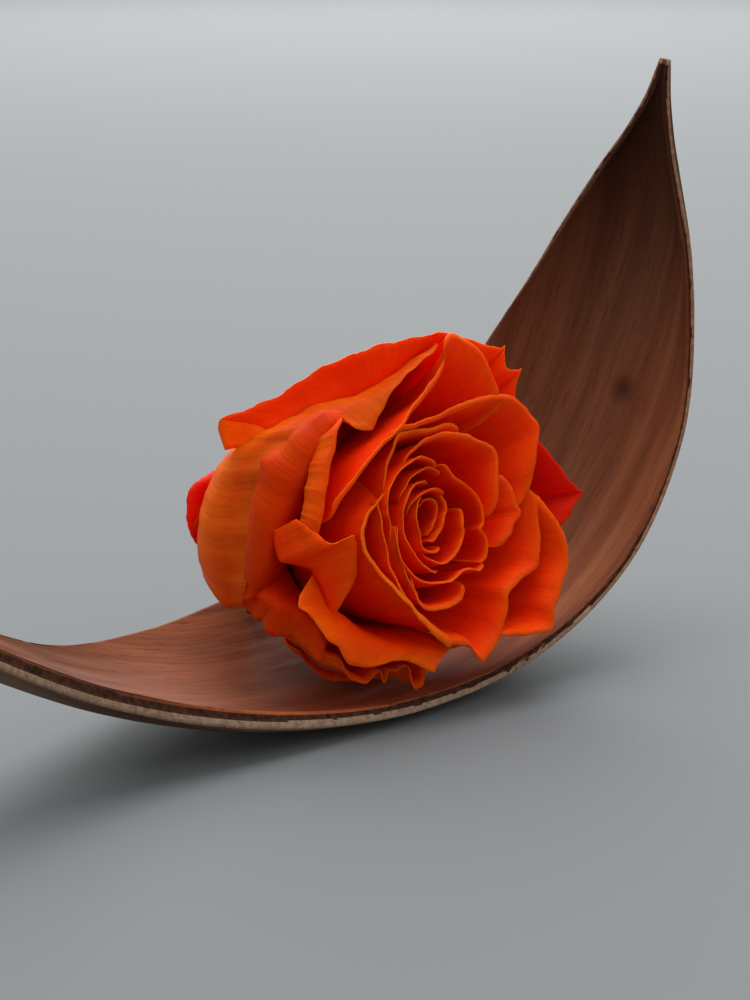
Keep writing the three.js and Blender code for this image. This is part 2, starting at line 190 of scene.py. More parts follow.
# %% A point of the wall
def wall_point(at, across, inwards, lift=0):
    """A point of the wall in metres: across from -1 at the low rim to 1, inwards 0 to 1, and
    lift millimetres off it towards the hollow."""
    half_width = value_at(HALF_WIDTH, at)
    depth = value_at(SECTION_DEPTH, at)
    radius = half_width * (1 + depth**2) / (2 * depth)
    rim_angle = 2 * np.arctan(depth)
    wall = np.minimum(value_at(WALL, at), WALL_SHARE * radius)
    reach = radius - wall * inwards - lift
    side = reach * np.sin(across * rim_angle) - value_at(LOW_SIDE_MORE, at) * (1 - across) / 2
    rise = RIM_RISE * half_width + radius * np.cos(rim_angle) - reach * np.cos(across * rim_angle)
    turn = np.interp(at, keel_at, heading)
    x = np.interp(at, keel_at, keel_x) - np.sin(turn) * rise
    z = np.interp(at, keel_at, keel_z) + np.cos(turn) * rise
    y = side * math.cos(LEAN) - z * math.sin(LEAN)
    z = side * math.sin(LEAN) + z * math.cos(LEAN)
    return (np.stack([x, y, z], -1) - REST) * MM


print("high tip at", wall_point(np.array([HIGH_TIP]), 0, 0)[0].round(4))

# %% [markdown]
# ## The spathe: one closed wall
#
# A grid is added by its operator and laid round the section, ring after ring, as a sheet is
# rolled into a tube. Its long edges are then merged and its two ends are filled. The cut rim has
# two layers on the real spathe: a tan outer skin, and a dark crumbly inner layer, which is worn
# back and chipped in places. So the rim has rows of its own in the grid, and noise in the dark
# layer wears them back.

# %% A helper that lays a grid
MERGE = 0.001 * MM


def lay_grid(name, columns, rows, place):
    """Adds a grid and lays its vertices at place(u, v), both from 0 to 1."""
    bpy.ops.object.select_all(action="DESELECT")
    bpy.ops.mesh.primitive_grid_add(x_subdivisions=columns, y_subdivisions=rows, size=1)
    piece = bpy.context.object
    piece.name = piece.data.name = name
    flat = np.empty(3 * len(piece.data.vertices))
    piece.data.vertices.foreach_get("co", flat)
    u, v = flat[0::3] + 0.5, flat[1::3] + 0.5
    piece.data.vertices.foreach_set("co", place(u, v).ravel())
    piece.data.update()
    return piece


# %% Helpers for edit mode
def edit_all(piece, *steps):
    """Runs edit-mode steps on the whole of one piece."""
    bpy.ops.object.select_all(action="DESELECT")
    bpy.context.view_layer.objects.active = piece
    piece.select_set(True)
    bpy.ops.object.mode_set(mode="EDIT")
    bpy.ops.mesh.select_all(action="SELECT")
    for step in steps:
        step()
    bpy.ops.object.mode_set(mode="OBJECT")


def close_tube():
    """Merges the seam of a rolled grid, fills its open ends and turns its faces outwards."""
    bpy.ops.mesh.remove_doubles(threshold=MERGE)
    bpy.ops.mesh.select_all(action="DESELECT")
    bpy.ops.mesh.select_non_manifold(extend=False)
    bpy.ops.mesh.fill()
    bpy.ops.mesh.select_all(action="SELECT")
    bpy.ops.mesh.normals_make_consistent(inside=False)


# %% Ripples that repeat from run to run
def ripple(where, seed, waves):
    """A smooth random line from -1 to 1 over where: a few sine waves with drawn phases."""
    draw = np.random.default_rng(seed)
    total = np.zeros_like(np.asarray(where, float))
    for wave in waves:
        phase, stretch = draw.uniform(0, 2 * math.pi), draw.uniform(0.8, 1.25)
        total = total + np.sin(2 * math.pi * where * wave * stretch + phase)
    return total / len(waves)


# %% Numbers of the wall
ALONG = 312
ARC_COLUMNS = 72
RIM_COLUMNS = 10
RING = 2 * (ARC_COLUMNS + RIM_COLUMNS)
# Thickness of the tan skin, and of the dark layer inside it, in millimetres along the keel.
SKIN = [(-150, 1.5), (-30, 1.4), (30, 1.05), (70, 0.7), (162, 0.6)]
DARK = [(-150, 1.9), (-60, 1.4), (-20, 0.95), (20, 0.85), (60, 0.55), (90, 0.4), (162, 0.35)]
RIM_ROUND = 0.22
# The dark layer of the near rim is chipped over this stretch of the keel, deepest in its middle.
CHIPPED = [(-30, 0), (-8, 0.35), (12, 0.9), (30, 1.0), (38, 0.4), (60, 0.15), (162, 0.1)]
FAR_RIM_CHIPPED = 0.05
# How far the inner layer is worn back: everywhere, along the near rim, and where it is chipped.
WEAR, NEAR_WEAR, CHIP_WEAR = 0.1, 0.2, 1.1
# Height of the lengthwise ribs, in the hollow and outside, and where they fade out at the ends.
RIB_HOLLOW, RIB_OUTSIDE, END_FADE = 0.22, 0.1, 20

# %% Places round the wall
def ring_place(u):
    """Where a share u of the way round the section lies: across and inwards."""
    step = u * RING
    outer_end, far_end = ARC_COLUMNS, ARC_COLUMNS + RIM_COLUMNS
    inner_end = far_end + ARC_COLUMNS
    across = np.select(
        [step <= outer_end, step <= far_end, step <= inner_end],
        [2 * step / ARC_COLUMNS - 1, 1.0 + 0 * step, 1 - 2 * (step - far_end) / ARC_COLUMNS], -1.0)
    inwards = np.select(
        [step <= outer_end, step <= far_end, step <= inner_end],
        [0 * step, (step - outer_end) / RIM_COLUMNS, 1.0 + 0 * step],
        1 - (step - inner_end) / RIM_COLUMNS)
    return across, inwards


def skin_share(at):
    """How much of the wall's thickness the tan outer skin takes."""
    return value_at(SKIN, at) / value_at(WALL, at)


# %% The wall of the spathe
def lay_wall(u, v):
    """Returns the points of the wall for u round the section and v along the keel."""
    at = LOW_TIP + (HIGH_TIP - LOW_TIP) * v
    across, inwards = ring_place(u)
    width = value_at(HALF_WIDTH, at)
    ends = np.clip(np.minimum(at - LOW_TIP, HIGH_TIP - at) / END_FADE, 0, 1)
    # Shallow lengthwise ribs, which come and go along the keel.
    rib = ripple(across * width / 10 + 0.002 * at, 3, [0.9, 1.7, 2.9]) * ripple(at / 90, 5, [1, 2])
    lift = np.where(inwards > 0.99, RIB_HOLLOW * rib, RIB_OUTSIDE * rib * (inwards < 0.01)) * ends
    # The corners of the rim are rounded over, and its dark layer is worn back unevenly.
    on_rim = np.abs(across) > 0.999
    corner = np.clip(1 - np.minimum(inwards, 1 - inwards) * value_at(WALL, at) / RIM_ROUND, 0, 1)
    inner = on_rim & (inwards > skin_share(at) + 0.01)
    crumbs = 0.5 + 0.5 * ripple(at / 6 + 3 * inwards, 11, [0.6, 1.1, 2.3, 4.1])
    near = across < 0
    chipped = np.where(near, value_at(CHIPPED, at), FAR_RIM_CHIPPED)
    worn = inner * ends * (WEAR + NEAR_WEAR * crumbs * near + CHIP_WEAR * chipped * crumbs**2)
    back = on_rim * ends * RIM_ROUND * corner**2 + worn
    across = across - np.sign(across) * back / np.maximum(width, 3)
    return wall_point(at, across, inwards, lift)


spathe = lay_grid("spathe", RING, ALONG, lay_wall)
edit_all(spathe, close_tube)
print("spathe faces:", len(spathe.data.polygons))

# %% [markdown]
# ## The spathe: the spot it stands on
#
# A curved shell rocks on one point. The real one has a worn flat patch there, so the wall is cut
# level with the floor by a bisect, which fills its cut.

# %% Cut the resting spot
def cut_level():
    bpy.ops.mesh.bisect(plane_co=(0, 0, 0), plane_no=(0, 0, 1), use_fill=True, clear_inner=True,
                        threshold=MERGE)


edit_all(spathe, cut_level)
bpy.ops.object.shade_smooth()
lowest = min(vertex.co.z for vertex in spathe.data.vertices)
print("lowest point of the spathe:", round(lowest, 6))

# %% [markdown]
# ## Finishes of the spathe
#
# The lining is a satin red-brown with fine fibres that run along the keel, the skin outside is a
# dull tan, and the cut rim shows both layers. Each face gets the finish of its layer. The grain
# has to follow the curve, so the wall carries a map of its own: metres along the keel, and metres
# across it.

# %% A map along and across the wall
MANY_SIDES = 8


def map_wall(piece):
    """Gives each vertex its distance along the keel, and its place across and through the wall."""
    mesh = piece.data
    grid_map = np.empty(2 * len(mesh.loops))
    mesh.uv_layers.active.data.foreach_get("uv", grid_map)
    vertex = np.empty(len(mesh.loops), int)
    mesh.loops.foreach_get("vertex_index", vertex)
    # The filled ends and the flat spot are many-sided. They take over what their neighbours know.
    sides = np.array([face.loop_total for face in mesh.polygons])
    on_grid = np.repeat(sides < MANY_SIDES, sides)
    u, v = grid_map.reshape(-1, 2)[on_grid].T
    known = np.zeros((3, len(mesh.vertices)))
    known[:, vertex[on_grid]] = LOW_TIP + (HIGH_TIP - LOW_TIP) * v, *ring_place(u)
    return vertex, *known


# %% The spathe's own map
corner_vertex, at, across, inwards = map_wall(spathe)
depth = value_at(SECTION_DEPTH, at)
arc = across * 2 * np.arctan(depth) * value_at(HALF_WIDTH, at) * (1 + depth**2) / (2 * depth)
mesh = spathe.data
wall_map = mesh.uv_layers.active
wall_map.name = "wall"
pairs = np.stack([at[corner_vertex], arc[corner_vertex]], -1) * MM
wall_map.data.foreach_set("uv", pairs.ravel())
print("the map reaches", pairs.min(0).round(3), "to", pairs.max(0).round(3))

# %% The layer that each face belongs to
LINING, DARK_LAYER, TAN_SKIN, HULL = range(4)
# Faces past this share of the way across, and not on the wall's two faces, belong to the rim.
RIM_FROM, RIM_FACE = 0.955, 0.03
# Where the rim is chipped, the skin loses up to this share of its thickness.
SKIN_CHIP, SKIN_LOSS = 0.9, 0.5
share = np.abs(across)
chips = value_at(CHIPPED, at) * ripple(at / 10 + inwards, 29, [1.1, 2.3, 3.7])
skin = skin_share(at) * (1 - np.clip(SKIN_CHIP * chips, 0, SKIN_LOSS))
dark = skin_share(at) + value_at(DARK, at) / value_at(WALL, at)
for face in mesh.polygons:
    corners = list(face.vertices)
    layer = inwards[corners].mean()
    if share[corners].mean() > RIM_FROM and RIM_FACE < layer < 1 - RIM_FACE:
        if layer < skin[corners].mean():
            face.material_index = TAN_SKIN
        else:
            face.material_index = DARK_LAYER if layer < dark[corners].mean() else LINING
    else:
        face.material_index = LINING if layer > 0.5 else HULL
print("faces of each layer:", np.bincount([face.material_index for face in mesh.polygons]))

# %% [markdown]
# ## Node helpers
#
# Every finish here is built from the same few nodes: noise stretched along a map, a ramp that
# turns it into colours, and a multiply that lays one pattern over another. Short helpers keep
# each finish readable. A picture of real wood would be quicker, but it would show its seams and
# its size on a curved piece, and a pattern made of nodes doesn't.

# %% New finishes and nodes
def new_finish(name, roughness):
    """An empty node material with its shader, ready for a pattern."""
    material = bpy.data.materials.new(name)
    material.use_nodes = True
    shader = material.node_tree.nodes["Principled BSDF"]
    shader.inputs["Roughness"].default_value = roughness
    return material, material.node_tree, shader


def add_node(tree, kind, links=(), **values):
    """Adds a node, sets its properties, and links sources into its sockets."""
    node = tree.nodes.new(kind)
    for key, value in values.items():
        setattr(node, key, value)
    for socket, source in links:
        tree.links.new(source, node.inputs[socket])
    return node


def stretched_noise(tree, coordinate, stretch, detail=4, roughness=0.55):
    """Noise over a map, stretched by different scales each way."""
    mapping = add_node(tree, "ShaderNodeMapping", [("Vector", coordinate)])
    mapping.inputs["Scale"].default_value = stretch
    noise = add_node(tree, "ShaderNodeTexNoise", [("Vector", mapping.outputs["Vector"])])
    noise.inputs["Scale"].default_value = 1
    noise.inputs["Detail"].default_value = detail
    noise.inputs["Roughness"].default_value = roughness
    return noise.outputs["Fac"]


# %% Colours
def ramp(tree, source, stops):
    """A colour ramp through stops (place, colour)."""
    node = add_node(tree, "ShaderNodeValToRGB", [("Fac", source)])
    elements = node.color_ramp.elements
    while len(elements) < len(stops):
        elements.new(0.5)
    for element, (place, colour) in zip(elements, stops):
        element.position = place
        element.color = (*colour, 1)
    return node.outputs["Color"]


def mix_colours(tree, factor, first, second, blend="MIX"):
    """Mixes two colour sources by a factor source or number."""
    node = tree.nodes.new("ShaderNodeMix")
    node.data_type = "RGBA"
    node.blend_type = blend
    for socket, source in ((0, factor), (6, first), (7, second)):
        if isinstance(source, (int, float)):
            node.inputs[socket].default_value = source
        elif isinstance(source, tuple):
            node.inputs[socket].default_value = (*source, 1)
        else:
            tree.links.new(source, node.inputs[socket])
    return node.outputs[2]


def tint(tree, colour, source, stops, share=1.0):
    """Multiplies a colour by a ramp over a source, as strongly as share says."""
    return mix_colours(tree, share, colour, ramp(tree, source, stops), "MULTIPLY")


def spread(tree, source, start, end):
    """Turns the stretch of a source from start to end into 0 to 1."""
    node = add_node(tree, "ShaderNodeMapRange", [("Value", source)])
    node.inputs["From Min"].default_value, node.inputs["From Max"].default_value = start, end
    return node.outputs["Result"]


# %% Relief
def add_bump(tree, shader, height, strength, distance):
    """Lets a pattern stand out of the surface, by distance in metres."""
    bump = add_node(tree, "ShaderNodeBump", [("Height", height)])
    bump.inputs["Strength"].default_value = strength
    bump.inputs["Distance"].default_value = distance
    tree.links.new(bump.outputs["Normal"], shader.inputs["Normal"])


# %% [markdown]
# ## Finishes of the spathe's wood
#
# The lining and the hull share one finish in two sets of colours, because both show the same
# fibres. The two cut layers share another, without fibres, because a cut across them only shows
# their ends. Both change along the keel. On the wood that is painted light and shade: lighter on
# the low arm, which faces up into the light, and darker on the high arm, which faces away from
# it. The cut layers turn browner towards the high arm.

# %% Numbers of the wood finish
# How often each pattern repeats per metre, along and across the fibres.
STREAKS, GRAIN, PATCHES, DASHES = (9, 170, 1), (60, 1500, 1), (14, 26, 1), (130, 1100, 1)
GRAIN_STOPS = [(0.3, (0.62, 0.6, 0.58)), (0.55, (1, 1, 1)), (0.8, (1.22, 1.2, 1.16))]
DASH_STOPS = [(0.57, (1, 1, 1)), (0.7, (0.5, 0.38, 0.32))]
PATCH_STOPS = [(0.35, (0.78, 0.76, 0.74)), (0.65, (1.1, 1.08, 1.05))]
# Where a small knot sits, in metres along the keel and across the wall, and how it fades.
KNOT = 0.097, -0.006
KNOT_STOPS = [(0.0003, (0.3, 0.22, 0.2)), (0.0011, (1, 1, 1))]
# Across the wall, from near its keel to its low rim, in metres, with painted light that makes
# the lining's lip lighter and redder there.
LOW_SIDE = -0.003, -0.02
PAINTED_LIP_LIGHT = [(0, (1, 1, 1)), (1, (1.35, 1.12, 0.98))]
# Along the keel, in metres. This is painted light and shade: lighter where the low arm faces
# up into the light, darker and then redder near the bloom and its shadow, and darkest on the
# high arm, which faces away from the light.
WOOD_RUN = -0.11, 0.15
PAINTED_LIGHT_ALONG_KEEL = [(0, (1.1, 1.03, 0.97)), (0.17, (0.6, 0.52, 0.46)), (0.36, (1.3, 0.98, 0.8)),
             (0.62, (0.85, 0.85, 0.85)), (0.8, (0.62, 0.58, 0.55)), (1, (0.16, 0.12, 0.1))]
FIBRE_GLOSS = 0.12

# %% The wood finish
def wood_finish(name, dark, middle, light, roughness, bump, lining):
    """Fibres along the keel: broad streaks, fine grain and small dark flecks."""
    material, tree, shader = new_finish(name, roughness)
    shader.inputs["Specular IOR Level"].default_value = FIBRE_GLOSS
    wall = add_node(tree, "ShaderNodeUVMap", uv_map="wall").outputs["UV"]
    streaks = stretched_noise(tree, wall, STREAKS, 3)
    grain = stretched_noise(tree, wall, GRAIN, 5, 0.65)
    patches = stretched_noise(tree, wall, PATCHES, 2)
    colour = ramp(tree, streaks, [(0.25, dark), (0.5, middle), (0.78, light)])
    colour = tint(tree, colour, grain, GRAIN_STOPS, 0.6)
    # Short dark dashes, where bundles of fibres come to the surface.
    dashes = stretched_noise(tree, wall, DASHES, 3, 0.7)
    colour = tint(tree, colour, dashes, DASH_STOPS, 0.65)
    # One small knot, in the lining of the high arm.
    away = add_node(tree, "ShaderNodeVectorMath", [(0, wall)], operation="DISTANCE")
    away.inputs[1].default_value = (*KNOT, 0)
    colour = tint(tree, colour, away.outputs["Value"], KNOT_STOPS, lining)
    colour = tint(tree, colour, patches, PATCH_STOPS, 0.8)
    split = add_node(tree, "ShaderNodeSeparateXYZ", [("Vector", wall)])
    # Painted light: the lining is lighter and redder near its low rim, where its lip catches the
    # light.
    lip_light = spread(tree, split.outputs["Y"], *LOW_SIDE)
    colour = tint(tree, colour, lip_light, PAINTED_LIP_LIGHT, lining)
    # Painted light and shade along the keel: lighter on the low arm, which faces the light,
    # and darker on the high arm, which faces away from it.
    run = spread(tree, split.outputs["X"], *WOOD_RUN)
    colour = tint(tree, colour, run, PAINTED_LIGHT_ALONG_KEEL)
    tree.links.new(colour, shader.inputs["Base Color"])
    add_bump(tree, shader, grain, bump, 0.15 * MM)
    return material


# %% The finish of a cut layer
GRAINS, SPECKS = (900, 900, 900), (1700, 1700, 1700)
SPECK_MASK = [(0.66, (0, 0, 0)), (0.72, (1, 1, 1))]
# Towards the high arm the cut is browner. The run along the keel is in metres.
CUT_RUN = -0.06, 0.08
CUT_FADE = [(0, (0.8, 0.76, 0.74)), (0.4, (1.2, 1.2, 1.2)), (0.7, (1.1, 1.05, 1)),
            (1, (1.0, 0.74, 0.62))]
CUT_GLOSS = 0.1


def crumbly_finish(name, dark, light, speck):
    """A cut layer: dull, with grains and a few dark specks."""
    material, tree, shader = new_finish(name, 0.85)
    shader.inputs["Specular IOR Level"].default_value = CUT_GLOSS
    place = add_node(tree, "ShaderNodeTexCoord").outputs["Object"]
    grains = stretched_noise(tree, place, GRAINS, 4, 0.7)
    specks = stretched_noise(tree, place, SPECKS, 2, 0.5)
    colour = ramp(tree, grains, [(0.35, dark), (0.65, light)])
    colour = mix_colours(tree, ramp(tree, specks, SPECK_MASK), colour, speck)
    wall = add_node(tree, "ShaderNodeUVMap", uv_map="wall").outputs["UV"]
    along = add_node(tree, "ShaderNodeSeparateXYZ", [("Vector", wall)]).outputs["X"]
    colour = tint(tree, colour, spread(tree, along, *CUT_RUN), CUT_FADE)
    tree.links.new(colour, shader.inputs["Base Color"])
    add_bump(tree, shader, grains, 0.6, 0.2 * MM)
    return material


# %% The four finishes of the spathe
LINING_COLOURS = (0.14, 0.044, 0.018), (0.235, 0.084, 0.036), (0.33, 0.14, 0.066)
HULL_COLOURS = (0.13, 0.07, 0.042), (0.24, 0.15, 0.095), (0.36, 0.26, 0.18)
DARK_LAYER_COLOURS = (0.02, 0.007, 0.004), (0.085, 0.031, 0.015), (0.01, 0.004, 0.003)
TAN_SKIN_COLOURS = (0.21, 0.125, 0.078), (0.36, 0.245, 0.165), (0.09, 0.05, 0.03)
for finish in (
    wood_finish("spathe_lining", *LINING_COLOURS, roughness=0.55, bump=0.5, lining=1.0),
    crumbly_finish("spathe_dark_layer", *DARK_LAYER_COLOURS),
    crumbly_finish("spathe_tan_skin", *TAN_SKIN_COLOURS),
    wood_finish("spathe_hull", *HULL_COLOURS, roughness=0.7, bump=0.5, lining=0.0),
):
    mesh.materials.append(finish)
print("finishes of the spathe:", [finish.name for finish in mesh.materials])

# %% [markdown]
# ## Splinters at the chipped stretch
#
# Where the near rim is chipped, a few fibres have come loose and point along the keel. They could
# be pulled out of the wall's mesh, but as pieces of their own they are easier to turn. Each one is
# a thin six-sided cone, pressed flat, with its foot inside the rim.

# %% Splinters
# Each one: millimetres along the keel, share of the wall's thickness, length, and turns sideways
# and upwards in degrees.
SPLINTERS = [(24, 0.45, 2.6, 14, 8), (27, 0.6, 3.4, -9, 16), (29, 0.4, 2.1, 24, -6),
             (33, 0.55, 2.8, 11, 12), (14, 0.5, 2.2, -12, 10)]
SPLINTER_FOOT, SPLINTER_POINT, SPLINTER_FLATNESS = 0.22, 0.03, 0.5
splinters = []
for number, (place, layer, length, sideways, upwards) in enumerate(SPLINTERS, 1):
    foot, ahead = wall_point(np.array([place, place + 1.0]), -1.0, layer)
    run = Vector(ahead - foot).normalized()
    turned = Matrix.Rotation(math.radians(sideways), 3, "Z")
    turned = turned @ Matrix.Rotation(math.radians(-upwards), 3, "Y")
    bpy.ops.object.select_all(action="DESELECT")
    bpy.ops.mesh.primitive_cone_add(
        vertices=6, radius1=SPLINTER_FOOT * MM, radius2=SPLINTER_POINT * MM, depth=length * MM)
    splinter = bpy.context.object
    splinter.name = splinter.data.name = f"splinter_{number}"
    lie = (turned @ run).to_track_quat("Z", "Y").to_matrix().to_4x4()
    flat = Matrix.Scale(SPLINTER_FLATNESS, 4, (0, 1, 0))
    splinter.data.transform(Matrix.Translation(Vector(foot)) @ lie @ flat)
    splinter.data.materials.append(mesh.materials[DARK_LAYER if number % 2 else TAN_SKIN])
    splinters.append(splinter)
print("splinters:", len(splinters))

# %% Hand the spathe over to the frame
for piece in [spathe, *splinters]:
    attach(piece, "root")
    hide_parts("spathe_boat")

# %% [markdown]
# ## The bloom: how a petal is drawn
#
# A rose's petals overlap in layers: tight ones round the bud, then wider cups whose rims curl
# outwards. One petal could be sculpted and copied, but each petal of this bloom has its own rim,
# with its own corners and tears. So each is drawn by its rim: the angle round the bloom's axis,
# the distance from it and the height above the base, in degrees and millimetres. Every column of
# the petal swells out from the root and rises to the rim.

# %% The bloom's own frame
BLOOM_BASE = np.array([7.6, 24.1, 23.9])
BLOOM_TILT = math.radians(17)
BLOOM_TURN = math.radians(-6.3)
tip_over = Matrix.Rotation(math.pi / 2 - BLOOM_TILT, 3, "X")
bloom_axes = Matrix.Rotation(BLOOM_TURN, 3, "Z") @ tip_over
to_bloom = Matrix.Translation(BLOOM_BASE * MM) @ bloom_axes.to_4x4()
bloom_turn = np.array(bloom_axes)


def from_bloom(angle, radius, height):
    """Angle in degrees, radius and height in the bloom's frame, as millimetres in the part's."""
    turn = np.radians(angle)
    flat = np.stack([radius * np.cos(turn), radius * np.sin(turn), height], -1)
    return flat @ bloom_turn.T + BLOOM_BASE


print("the bloom's axis:", bloom_turn[:, 2].round(3))

# %% Layers and rims of the petals
ROOT_SHARE = 0.6
SIDE_TUCK = 0.12
BUD_SWELL = 1.08
# Radius and height of the root, and the radius of the belly (0 follows the rim).
LAYERS = {
    "bud": ((2.2, 19), 0),
    "heart": ((3.5, 13), 13.5),
    "wrap": ((4.5, 9), 18.5),
    "cup": ((5.5, 5), 25),
    "outer": ((6.5, 2), 29.5),
}
